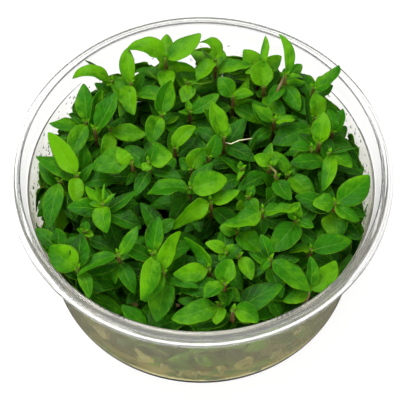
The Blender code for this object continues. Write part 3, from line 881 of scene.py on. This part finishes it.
def leaf_rise(leaf, u, v, half, phase):
    """How far a blade's upper face stands above its own plane: cupped, waved and quilted."""
    side = np.sign(v)
    cupped = leaf.cup * (np.abs(v) ** CUP_POWER - CUP_EASE * v ** 4) * (1.0 - CUP_FADE * u * u)
    swing = np.sin(EDGE_WAVES * u + phase + EDGE_SHIFT * side)
    swing = swing + SMALL_WAVE * np.sin(SMALL_WAVES * u - phase * side)
    wave = leaf.ripple * v * v * swing
    veins = np.cos(2 * np.pi * (VEINS * u - VEIN_SLANT * np.abs(v)))
    quilt = QUILT * np.sin(np.pi * np.abs(v)) * veins
    groove = GROOVE * ridge(v * half, GROOVE_HALF) * (1.0 - u)
    return half * (cupped + wave + quilt * smooth(*QUILT_START, u)) - groove


def leaf_thickness(u, v, out):
    """Thickness of a blade, thin at its edges, with a midrib and a round stalk."""
    blade = BLADE_THICKNESS * np.sqrt(np.clip(1.0 - v * v, 0.0, 1.0)) * (1.0 - BLADE_THINS * u)
    midrib = RIDGE * ridge(out, RIDGE_HALF) * (1.0 - u) ** RIDGE_FADE
    stalk = STALK_THICKNESS * (1.0 - smooth(*STALK_END, u)) * (1.0 - v * v)
    return blade + (midrib + stalk) * (1.0 - v * v)


def inner_limit(height):
    """Largest radius of anything inside the cup at a height, as an array."""
    ledge = CUP_HEIGHT - LEDGE_DEPTH
    collar = LEDGE_RADIUS + LEDGE_STEP
    above = collar + (MOUTH_RADIUS - collar) * (height - ledge) / LEDGE_DEPTH
    limit = np.where(height < ledge, wall_radius(height), above) - PRESS_GAP
    return np.where(height < CUP_HEIGHT, limit, np.inf)


def keep_inside(faces):
    """Press a leaf's two faces against the wall where they reach it, and keep them off the gel.

    Low down at the wall, the leaf lies flat in the narrow gap between the wall and the gel.
    """
    flat = np.hypot(faces[..., 0], faces[..., 1])
    limit = inner_limit(faces[..., 2])
    excess = np.clip(flat - limit, 0.0, None).max(axis=0)
    depth = np.minimum(flat.max(axis=0) - flat, PRESSED_THICKNESS)
    at_wall = flat > limit - RUNNER_GAP
    beside_gel = at_wall & (faces[..., 2] < GEL_TOP + GEL_CLIMB)
    radius = np.where(beside_gel, limit - depth, flat - excess)
    faces[..., :2] *= (radius / flat)[..., None]
    lowest = np.where(at_wall, LEAF_OVER_FLOOR, GEL_TOP + LEAF_OVER_GEL)
    faces[..., 2] = np.maximum(faces[..., 2], lowest)
    return faces


def leaf_light(leaf):
    """A leaf's lightness, raised as painted light for the leaves at the back of the cup."""
    raised = leaf.light + BACK_PAINTED_LIGHT * smooth(*BACK_ZONE, leaf.base.y)
    return max(leaf.light, min(raised, MOST_BACK_PAINTED_LIGHT))


def leaf_points(leaf, rng):
    """Points of a leaf's two faces, with each one's place on the leaf and look."""
    v = np.array(FINE_ACROSS if leaf.fine else PLAIN_ACROSS)[None, :]
    step = np.linspace(0.0, 1.0, FINE_ROWS if leaf.fine else PLAIN_ROWS)
    u = ROW_SPACING[0] * step + ROW_SPACING[1] * np.sin(step * np.pi / 2)
    line, side, up = (rows[:, None, :] for rows in leaf_midrib(leaf, u))
    half = leaf_half_width(u, leaf.width)[:, None] * (1.0 + leaf.skew * np.sign(v))
    u = u[:, None]
    out = v * half
    rise = leaf_rise(leaf, u, v, half, rng.uniform(*WAVE_PHASE))
    top = line + side * out[..., None] + up * rise[..., None]
    under = top - up * leaf_thickness(u, v, out)[..., None]
    top, under = keep_inside(np.stack([top, under]))
    level = np.zeros_like(out)
    edge = np.abs(v) == 1.0
    place = np.stack([u + level, v + level, out], axis=-1)
    # the last value is a random number per leaf that sets its painted light and shade in the shader
    look = np.stack([leaf_light(leaf) + level, EDGE_LOOK * edge + level, rng.random() + level], axis=-1)
    under_look = look.copy()
    under_look[..., 1] = 1.0
    pairs = ((top, under), (place, place), (look, under_look))
    return [np.concatenate([upper.reshape(-1, 3), lower[:, 1:-1].reshape(-1, 3)])
            for upper, lower in pairs]


def leaf_faces(rows, columns):
    """Faces of a leaf's mesh: both sides share its edges, and the two ends are closed."""
    inner = columns - 2

    def top(row, column):
        return row * columns + column

    def under(row, column):
        if column in (0, columns - 1):
            return top(row, column)
        return rows * columns + row * inner + column - 1

    faces = []
    end = rows - 1
    for row in range(end):
        for c in range(columns - 1):
            faces.append((top(row, c), top(row, c + 1), top(row + 1, c + 1), top(row + 1, c)))
            faces.append((under(row, c), under(row + 1, c), under(row + 1, c + 1), under(row, c + 1)))
    for c in range(columns - 1):
        faces.append((top(0, c + 1), top(0, c), under(0, c), under(0, c + 1)))
        faces.append((top(end, c), top(end, c + 1), under(end, c + 1), under(end, c)))
    return [tuple(dict.fromkeys(face)) for face in faces]


def tube(line, radii, sides):
    """Points and faces of a closed round tube along a line."""
    points = []
    across = (line[1] - line[0]).normalized().orthogonal()
    for i, (middle, radius) in enumerate(zip(line, radii)):
        ahead = (line[min(i + 1, len(line) - 1)] - line[max(i - 1, 0)]).normalized()
        across = (across - ahead * ahead.dot(across)).normalized()
        second = ahead.cross(across)
        for angle in turns(sides):
            points.append(middle + (across * math.cos(angle) + second * math.sin(angle)) * radius)
    return points, tube_faces(len(line), sides)


class Nodes:
    """Short ways to add nodes to a shader tree; a value can be another node's output."""

    def __init__(self, tree):
        self.tree = tree

    def feed(self, node, socket, value):
        if isinstance(value, bpy.types.NodeSocket):
            self.tree.links.new(value, node.inputs[socket])
        else:
            node.inputs[socket].default_value = value

    def add(self, kind, inputs=(), **settings):
        node = self.tree.nodes.new("ShaderNode" + kind)
        for name, value in settings.items():
            setattr(node, name, value)
        for socket, value in dict(inputs).items():
            self.feed(node, socket, value)
        return node

    def calc(self, operation, *values):
        return self.add("Math", dict(enumerate(values)), operation=operation).outputs[0]

    def product(self, first, *others):
        for other in others:
            first = self.calc("MULTIPLY", first, other)
        return first

    def centered(self, value):
        """A value from 0 to 1, moved to lie round 0."""
        return self.calc("SUBTRACT", value, 0.5)

    def ramp(self, value, zone, start=0.0, end=1.0, unit=1.0):
        """A value that goes smoothly from start to end while the input crosses a zone."""
        low, high = zone[0] * unit, zone[1] * unit
        inputs = {"Value": value, "From Min": low, "From Max": high, "To Min": start, "To Max": end}
        return self.add("MapRange", inputs, interpolation_type="SMOOTHSTEP").outputs[0]

    def mix(self, share, *colors):
        """A colour between two colours."""
        first, second = (
            color if isinstance(color, bpy.types.NodeSocket) else (*color, 1.0) for color in colors)
        return self.add("Mix", {0: share, 6: first, 7: second}, data_type="RGBA").outputs[2]

    def split(self, vector):
        return self.add("SeparateXYZ", {0: vector}).outputs

    def place(self):
        return self.add("TexCoord").outputs["Object"]

    def mottle(self, size, detail=2.0, seed=0.0):
        """Soft noise with patches of a size in millimetres."""
        inputs = {"Vector": self.place(), "Scale": 1.0 / (size * MM), "Detail": detail, "W": seed}
        return self.add("TexNoise", inputs, noise_dimensions="4D").outputs["Fac"]

    def attribute(self, name, output="Vector"):
        return self.add("Attribute", attribute_name=name).outputs[output]


class Surface(Nodes):
    """A material with a Principled shader."""

    def __init__(self, name, values):
        self.material = bpy.data.materials.new(name)
        self.material.use_nodes = True
        super().__init__(self.material.node_tree)
        self.shader = self.tree.nodes["Principled BSDF"]
        for socket, value in values.items():
            self.set(socket, value)

    def set(self, socket, value):
        self.feed(self.shader, socket, value)

    def set_bump(self, height, strength, depth):
        bump = self.add("Bump", {"Height": height, "Strength": strength, "Distance": depth})
        self.set("Normal", bump.outputs[0])


def leaf_surface():
    """Glossy leaf: light or dark by its age and partly by painted shade deep in the stand, one half and
    one end lighter than the other as painted light and shade, with pale veins, a painted highlight along
    its edges, and a paler underside.
    """
    leaf = Surface("leaf", LEAF_SHADER)
    u, v, out = leaf.split(leaf.attribute("leaf_place"))
    # the third value, tint, is a random number per leaf that picks where its painted shade falls
    light, under, tint = leaf.split(leaf.attribute("leaf_look"))
    side = leaf.calc("ABSOLUTE", v)
    patch = leaf.calc("MULTIPLY_ADD", leaf.mottle(*LEAF_NOISE), LEAF_PATCH, -LEAF_PATCH / 2)
    # painted light and shade: one half and one end of the leaf made lighter than the other, at random
    halves = leaf.product(leaf.centered(tint), v)
    ends = leaf.centered(leaf.calc("FRACT", leaf.product(tint, END_SHADE_SCRAMBLE)))
    ends = leaf.product(ends, leaf.centered(u), ENDS_PAINTED_SHADE)
    shade = leaf.calc("MULTIPLY_ADD", halves, HALVES_PAINTED_SHADE, ends)
    light = leaf.calc("ADD", light, leaf.calc("ADD", patch, shade))
    color = leaf.mix(leaf.ramp(light, GREEN_RAMP), LEAF_DARK, LEAF_GREEN)
    color = leaf.mix(leaf.ramp(light, LIGHT_RAMP), color, LEAF_LIGHT)
    color = leaf.mix(leaf.product(under, UNDER_PALE), color, LEAF_UNDER)
    midrib = leaf.ramp(leaf.calc("ABSOLUTE", out), *MIDRIB_RAMP)
    midrib = leaf.product(midrib, leaf.ramp(u, *MIDRIB_FADE))
    veins = leaf.product(leaf.calc("SUBTRACT", u, leaf.product(side, VEIN_SLANT / VEINS)), VEINS)
    near_vein = leaf.calc("ABSOLUTE", leaf.centered(leaf.calc("FRACT", veins)))
    vein = leaf.ramp(near_vein, *VEIN_RAMP)
    # painted highlight along the leaf's edges
    rim = leaf.ramp(side, *RIM_HIGHLIGHT_RAMP)
    stalk = leaf.ramp(u, *STALK_RAMP)
    pale = leaf.calc("MAXIMUM", leaf.calc("MAXIMUM", midrib, vein), leaf.calc("MAXIMUM", rim, stalk))
    leaf.set("Base Color", leaf.mix(pale, color, LEAF_VEIN_AND_EDGE_HIGHLIGHT))
    leaf.set("Roughness", leaf.calc("MULTIPLY_ADD", leaf.mottle(*SHEEN_NOISE), *LEAF_ROUGH))
    leaf.set_bump(leaf.mottle(*LEAF_GRAIN), *LEAF_BUMP)
    return leaf.material


def stem_surface():
    """Smooth stem, reddish brown low down and olive green near its top, darker at random."""
    stem = Surface("stem", STEM_SHADER)
    height = stem.split(stem.place())[2]
    high = stem.calc("SUBTRACT", stem.ramp(height, STEM_RAMP, unit=MM), STEM_MOTTLE / 2)
    high = stem.calc("MULTIPLY_ADD", stem.mottle(*STEM_NOISE), STEM_MOTTLE, high)
    stem.set("Base Color", stem.mix(high, STEM_BROWN, STEM_GREEN))
    return stem.material


def mottled_surface(name, values, noise_values, *colors):
    """Material of two colours in soft patches."""
    surface = Surface(name, values)
    surface.set("Base Color", surface.mix(surface.mottle(*noise_values), *colors))
    return surface.material


def plastic_surface():
    """Clear moulded plastic with a painted dark line at its mouth, which stands in for a dark reflection
    in the rim.

    Damp fogs its inner side, more so low down, near the front and in patches; its colour goes from
    olive at the front, which is painted light from the plants behind, to beige at the back. A thin
    stain of plant juices tints the front half of the wall.
    """
    wall = Surface("clear_plastic", PLASTIC_SHADER)
    fogged = wall.attribute("fogged", "Fac")
    x, y, height = wall.split(wall.place())
    patch = wall.ramp(wall.mottle(*FOG_NOISE), *FOG_PATCHES)
    low = wall.ramp(height, *FOG_BY_HEIGHT, MM)
    near = wall.ramp(y, *FOG_TO_BACK, MM)
    fog = wall.product(patch, low, near, fogged)
    weight = wall.ramp(wall.calc("ABSOLUTE", x), *FOG_TO_SIDE, MM)
    clear = wall.calc("SUBTRACT", 1.0, wall.product(fog, weight))
    wall.set("Transmission Weight", wall.product(clear, wall.ramp(height, *HAZE_BY_HEIGHT, MM)))
    # fog colour: painted olive light from the plants at the front, beige at the back
    tint = wall.mix(wall.ramp(y, PAINTED_OLIVE_TO_BACK, unit=MM), FOG_PAINTED_OLIVE_LIGHT, FOG)
    stain = wall.product(
        wall.ramp(y, *STAIN_TO_BACK, MM), wall.ramp(height, *STAIN_BY_HEIGHT, MM))
    film = wall.mix(stain, PLASTIC, STAIN)
    # painted reflection: a dark line round the top of the mouth
    flat = wall.calc("SQRT", wall.calc("ADD", wall.product(x, x), wall.product(y, y)))
    edge = wall.calc("COMPARE", flat, MOUTH_LINE_RADIUS * MM, MOUTH_LINE_HALF * MM)
    edge = wall.product(edge, wall.calc("GREATER_THAN", height, MOUTH_LINE_LEVEL * MM))
    film = wall.mix(edge, film, PAINTED_MOUTH_LINE)
    wall.set("Base Color", wall.mix(fog, film, tint))
    wall.set("Roughness", wall.calc("MULTIPLY_ADD", fog, *FOG_ROUGHNESS))
    wall.set_bump(wall.product(wall.mottle(*WALL_GRAIN), fog), *WALL_BUMP)
    depth = {"Color": (*PLASTIC_DEPTH, 1.0), "Density": PLASTIC_DENSITY}
    output = wall.tree.nodes["Material Output"]
    wall.feed(output, "Volume", wall.add("VolumeAbsorption", depth).outputs[0])
    return wall.material


def new_piece(name, points, faces, surfaces, node=None):
    """A smooth mesh piece on the frame's one body, in place of the node it stands for."""
    mesh = bpy.data.meshes.new(name)
    mesh.from_pydata([tuple(co) for co in np.asarray(points) * MM], [], faces)
    for surface in surfaces:
        mesh.materials.append(surface)
    mesh.shade_smooth()
    mesh.update()
    piece = bpy.data.objects.new(name, mesh)
    bpy.context.scene.collection.objects.link(piece)
    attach(piece, "root")
    if node:
        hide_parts(node)
    return piece


def mark_points(piece, name, kind, field, values):
    """Give every point of a piece's mesh a value that its material reads."""
    layer = piece.data.attributes.new(name, kind, "POINT")
    layer.data.foreach_set(field, np.asarray(values, dtype=np.float32).ravel())


class Growth:
    """Collects the parts of one piece into one mesh."""

    def __init__(self):
        self.points, self.places, self.looks, self.faces, self.kinds = [], [], [], [], []
        self.count = 0

    def add(self, points, faces, kind=0, places=None, looks=None):
        """Add a part with a kind of surface; a leaf also brings places and looks for its shader."""
        points = np.asarray(points, dtype=float)
        blank = np.zeros_like(points)
        self.points.append(points)
        self.places.append(blank if places is None else places)
        self.looks.append(blank if looks is None else looks)
        self.faces += [tuple(self.count + i for i in face) for face in faces]
        self.kinds += [kind] * len(faces)
        self.count += len(points)

    def piece(self, name, surfaces, slot=None, node=None):
        return new_piece(name, np.concatenate(self.points), self.faces, surfaces, node)


def add_stem(growth, line):
    """Round stem, a little swollen at its nodes, with a domed top."""
    points, radii = [], []
    for ring in range(STEM_RINGS):
        point = stem_middle(line[0], line[-1], ring / (STEM_RINGS - 1))
        below = (node_height(line, 0) - point.z) / NODE_GAP
        swell = math.exp(-((below - round(below)) * NODE_GAP / NODE_LENGTH) ** 2)
        points.append(point)
        radii.append(STEM_THIN * stem_radius(point.z, line) * (1.0 + NODE_SWELL * swell))
    points.append(line[-1] + UP * STEM_DOME)
    radii.append(DOME_RADIUS)
    growth.add(*tube(points, radii, STEM_SIDES), STEM_KIND)


def add_roots(growth, line, rng):
    """Thin roots that wander down and outward through the gel."""
    foot = line[0] + UP * ROOT_START
    for _ in range(ROOTS_EACH):
        angle = rng.uniform(0, 2 * math.pi)
        reach = rng.uniform(*ROOT_REACH)
        points, radii = [], []
        for k in range(ROOT_STEPS + 1):
            share = k / ROOT_STEPS
            angle += rng.uniform(*ROOT_BEND)
            point = foot + polar(reach * share, angle)
            point.z = foot.z - (foot.z - ROOT_FLOOR) * share ** ROOT_FALL
            limit = wall_radius(point.z) - ROOT_MARGIN
            flat = math.hypot(point.x, point.y)
            if flat > limit:
                point.x, point.y = point.x * limit / flat, point.y * limit / flat
            points.append(point)
            radii.append(ROOT_RADIUS * (1.0 - ROOT_TAPER * share))
        growth.add(*tube(points, radii, ROOT_SIDES), ROOT_KIND)


def all_leaves(lines):
    """Leaves of every shoot, in the order of growth, and the side shoots as lines."""
    stems = [Obstacle(*stem_hull(line)) for line in lines]
    taken = [node_obstacle(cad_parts[name]) for name in ("cup", "gel")]
    grown = listed_leaves(lines, stems, taken)
    more_leaves(lines, grown)
    lower_leaves(lines, stems, taken, grown)
    runners = side_shoots(lines, grown)
    bud_leaves(lines, grown)
    return grown, runners


def make_shoots(surfaces):
    """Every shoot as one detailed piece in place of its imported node."""
    lines = [stem_line(seen_at(*top)) for top, _ in SHOOTS]
    shapes = {
        True: leaf_faces(FINE_ROWS, len(FINE_ACROSS)),
        False: leaf_faces(PLAIN_ROWS, len(PLAIN_ACROSS)),
    }
    for index, (line, own, side_lines) in enumerate(zip(lines, *all_leaves(lines))):
        rng = random.Random(SEED + 7 * index)
        growth = Growth()
        for leaf in own:
            points, places, looks = leaf_points(leaf, rng)
            growth.add(points, shapes[leaf.fine], LEAF_KIND, places, looks)
        add_stem(growth, line)
        for path in side_lines:
            radii = [RUNNER_RADIUS * (1.0 - RUNNER_TAPER * k) for k in range(len(path))]
            growth.add(*tube(path, radii, RUNNER_SIDES), STEM_KIND)
        add_roots(growth, line, rng)
        for shoot, kind, radius, spots in TWIGS:
            if shoot == index:
                path = [seen_at(*spot) for spot in spots]
                growth.add(*tube(path, [radius] * len(path), TWIG_SIDES), kind)
        name, node = f"leafy_shoot_{index + 1:02d}", f"plantlet_{index + 1:02d}"
        shoot = growth.piece(name, surfaces, "leaf_green", node)
        shoot.data.polygons.foreach_set("material_index", growth.kinds)
        mark_points(shoot, "leaf_place", "FLOAT_VECTOR", "vector", np.concatenate(growth.places))
        mark_points(shoot, "leaf_look", "FLOAT_VECTOR", "vector", np.concatenate(growth.looks))


def lathe(profile, facets):
    """Points and faces of a profile turned round +Z.

    The profile goes from the axis up the inside and down the outer side, as radius and height.
    """
    rows = [step for step in profile if step[0] > 0.0]
    points = [(0.0, 0.0, profile[0][1])]
    for radius, height in rows:
        points += [polar(radius, angle, height) for angle in turns(facets)]
    points.append((0.0, 0.0, profile[-1][1]))
    last = 1 + (len(rows) - 1) * facets
    faces = []
    for k in range(facets):
        j = (k + 1) % facets
        faces.append((0, 1 + k, 1 + j))
        for low in range(1, last, facets):
            faces.append((low + j, low + k, low + facets + k, low + facets + j))
        faces.append((last + j, last + k, len(points) - 1))
    return points, faces


def rounded(corners):
    """A profile with its corners rounded."""
    path = [corners[0]]
    for corner in zip(corners, corners[1:], corners[2:]):
        before, here, after = (Vector(point) for point in corner)
        cut = min(EDGE_ROUND, *((side - here).length * CUT_SHARE for side in (before, after)))
        start, end = (here + (side - here).normalized() * cut for side in (before, after))
        for k in range(ROUND_STEPS + 1):
            t = k / ROUND_STEPS
            spot = start * (1 - t) ** 2 + here * 2 * t * (1 - t) + end * t * t
            path.append((spot.x, spot.y))
    path.append(corners[-1])
    return path


def cup_profile():
    """Corners of the cup's section, as radius and height."""
    ledge = CUP_HEIGHT - LEDGE_DEPTH
    flange = CUP_HEIGHT - FLANGE_DROP
    bead = MOUTH_RADIUS + BEAD_WIDTH
    corner = WALL + CORNER_ROUND
    cut = ARC_CUT * CORNER_ROUND
    inside = [
        (0.0, WALL),
        (wall_radius(WALL) - CORNER_ROUND, WALL),
        (wall_radius(WALL + cut) - cut, WALL + cut),
        (wall_radius(corner), corner),
        (LEDGE_RADIUS, ledge),
        (LEDGE_RADIUS + LEDGE_STEP, ledge + LEDGE_RISE),
        (MOUTH_RADIUS, CUP_HEIGHT - BEVEL),
    ]
    rim = [
        (MOUTH_RADIUS + BEVEL, CUP_HEIGHT),
        (bead - BEVEL, CUP_HEIGHT),
        (bead, CUP_HEIGHT - BEVEL),
        (bead + BEVEL, flange),
        (RIM_RADIUS - BEVEL, flange),
        (RIM_RADIUS, flange - BEVEL),
        (RIM_RADIUS, flange - FLANGE_LIP),
        (RIM_RADIUS - WALL, flange - FLANGE_LIP),
        (RIM_RADIUS - WALL, flange - WALL),
        (MOUTH_RADIUS + 1.5 * WALL, flange - WALL),
    ]
    outside = [
        (LEDGE_RADIUS + LEDGE_STEP + WALL, ledge - LEDGE_RISE),
        (LEDGE_RADIUS + WALL, ledge - LEDGE_NECK),
        (wall_radius(FOOT_ROUND) + WALL, FOOT_ROUND),
        (FOOT_RADIUS - FOOT_ROUND, 0.0),
        (0.0, 0.0),
    ]
    return inside + rim + outside


def make_cup(surface):
    """Cup, with its inner wall marked as the part that damp fogs."""
    points, faces = lathe(rounded(cup_profile()), CUP_FACETS)
    cup = new_piece("clear_cup", points, faces, [surface], "cup")
    fogged = [
        FOGGED_HEIGHTS[0] < z < FOGGED_HEIGHTS[1] and math.hypot(x, y) < wall_radius(z) + WALL / 2
        for x, y, z in points]
    mark_points(cup, "fogged", "FLOAT", "value", fogged)


def make_gel(surface):
    """Gel layer with a wavy top that climbs where it meets the wall."""
    low = WALL + FIT_GAP
    side = wall_radius(GEL_TOP) - FIT_GAP
    corner = low + CORNER_ROUND
    corners = [
        *((side * share, GEL_TOP) for share in (0.0, *GEL_RINGS)),
        (side - GEL_CURVE, GEL_TOP),
        (side, GEL_TOP + GEL_CLIMB),
        (wall_radius(corner) - FIT_GAP, corner),
        (wall_radius(WALL) - CORNER_ROUND - FIT_GAP, low),
        (0.0, low),
    ]
    points, faces = lathe(rounded(corners), GEL_FACETS)
    for i, (x, y, z) in enumerate(points):
        if z > GEL_TOP - GEL_WAVE_DEPTH:
            points[i] = (x, y, z + GEL_WAVE * noise.noise(Vector((x, y, 0)) * GEL_WAVE_SCALE))
    new_piece("gel_bed", points, faces, [surface], "gel")


def add_drop(growth, angle, height, size, tall, sides, uneven=0.0, low=1.0):
    """One low drop on the inner wall, its back a little inside the plastic."""
    points = []
    for lift, wide in DROP_RINGS:
        for turn in turns(sides):
            spot = polar(1.0, turn, angle * DROP_VARIETY)
            reach = size * wide * (1.0 + uneven * noise.noise(spot * DROP_BUMPS))
            at = angle + reach * math.cos(turn) / wall_radius(height)
            level = height + reach * math.sin(turn) * tall
            points.append(polar(wall_radius(level) - DROP_SINK - size * lift * low, at, level))
    growth.add(points, tube_faces(len(DROP_RINGS), sides))


def make_drops(surface):
    """Condensation on the inner wall, in patches."""
    rng = random.Random(SEED)
    growth = Growth()
    wide, tall = DROP_PATCHES
    while growth.count < DROPS * len(DROP_RINGS) * DROP_SIDES:
        angle = rng.uniform(0, 2 * math.pi)
        height = rng.uniform(*DROP_HEIGHT)
        patch = noise.noise(polar(wide, angle, height / tall))
        if patch > rng.uniform(*DROP_CHANCE):
            size = DROP_SIZE + DROP_SIZE_MORE * rng.random() ** 3
            add_drop(growth, angle, height, size, rng.uniform(*DROP_TALL), DROP_SIDES)
    growth.piece("condensation", [surface])


def make_smears_and_highlights(surface):
    """Pale bits of gel that stick to the wall above the gel's own level, near white so that they also
    stand as painted highlights.
    """
    growth = Growth()
    for x, height, size in SMEARS_AND_HIGHLIGHTS:
        angle = -math.acos(x / wall_radius(height))
        add_drop(growth, angle, height, size, SMEAR_TALL, SMEAR_SIDES, SMEAR_UNEVEN, SMEAR_FLAT)
    growth.piece("gel_smears_and_highlights", [surface])


def make_floor():
    side = FLOOR_SIDE / 2
    corners = [(-side, -side, 0), (side, -side, 0), (side, side, 0), (-side, side, 0)]
    mesh = bpy.data.meshes.new("floor")
    mesh.from_pydata(corners, [], [(0, 1, 2, 3)])
    mesh.materials.append(Surface("pale_floor", FLOOR_SHADER).material)
    floor = bpy.data.objects.new("floor", mesh)
    floor.location.z = -FLOOR_SINK
    floor.visible_glossy = False
    bpy.context.scene.collection.objects.link(floor)


def make_lights():
    """A pale world that darkens toward the horizon, and two soft lamps."""
    scene = bpy.context.scene
    scene.world = bpy.data.worlds.new("studio")
    scene.world.use_nodes = True
    sky = Nodes(scene.world.node_tree)
    height = sky.split(sky.add("TexCoord").outputs["Generated"])[2]
    back = sky.tree.nodes["Background"]
    sky.feed(back, "Color", sky.mix(sky.ramp(height, HORIZON_ZONE), HORIZON_SHADE, WHITE))
    sky.feed(back, "Strength", WORLD_LIGHT)
    for name, place, side, power, mirrored in LIGHTS:
        lamp = bpy.data.lights.new(name, "AREA")
        lamp.shape = "SQUARE"
        lamp.size = side
        lamp.energy = power
        holder = bpy.data.objects.new(name, lamp)
        holder.location = place
        holder.visible_glossy = mirrored
        holder.rotation_euler = (-Vector(place)).to_track_quat("-Z", "Y").to_euler()
        scene.collection.objects.link(holder)
    scene.view_settings.view_transform = "Standard"
    scene.view_settings.look = "None"


def make_camera():
    """Camera at the eye, with the photograph's slight roll."""
    back = EYE - Vector((EYE.x, 0.0, CAMERA_AIM))
    level = back.to_track_quat("Z", "Y").to_matrix().to_4x4()
    lens = bpy.data.cameras.new("camera")
    lens.lens = CAMERA_LENS
    lens.clip_start = NEAREST_SEEN
    holder = bpy.data.objects.new("camera", lens)
    holder.matrix_world = Matrix.Translation(EYE * MM) @ level @ Matrix.Rotation(CAMERA_ROLL, 4, "Z")
    bpy.context.scene.collection.objects.link(holder)
    bpy.context.scene.camera = holder


def main():
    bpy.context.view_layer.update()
    roots = mottled_surface("root", ROOT_SHADER, ROOT_NOISE, ROOT_TAN, ROOT_WHITE)
    make_shoots([leaf_surface(), stem_surface(), roots])
    make_cup(plastic_surface())
    make_gel(mottled_surface("culture_gel", GEL_SHADER, GEL_NOISE, GEL_DARK, GEL_PALE))
    make_smears_and_highlights(mottled_surface("gel_bits_and_highlights", SMEAR_SHADER, SMEAR_NOISE, SMEAR_EDGE, SMEAR))
    make_drops(Surface("water", WATER_SHADER).material)
    make_floor()
    make_lights()
    make_camera()


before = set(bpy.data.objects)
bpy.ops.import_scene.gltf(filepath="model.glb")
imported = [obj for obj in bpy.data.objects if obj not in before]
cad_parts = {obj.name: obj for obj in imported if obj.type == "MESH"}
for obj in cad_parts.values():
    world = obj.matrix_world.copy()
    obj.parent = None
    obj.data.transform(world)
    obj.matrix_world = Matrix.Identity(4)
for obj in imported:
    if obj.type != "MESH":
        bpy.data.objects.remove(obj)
main()
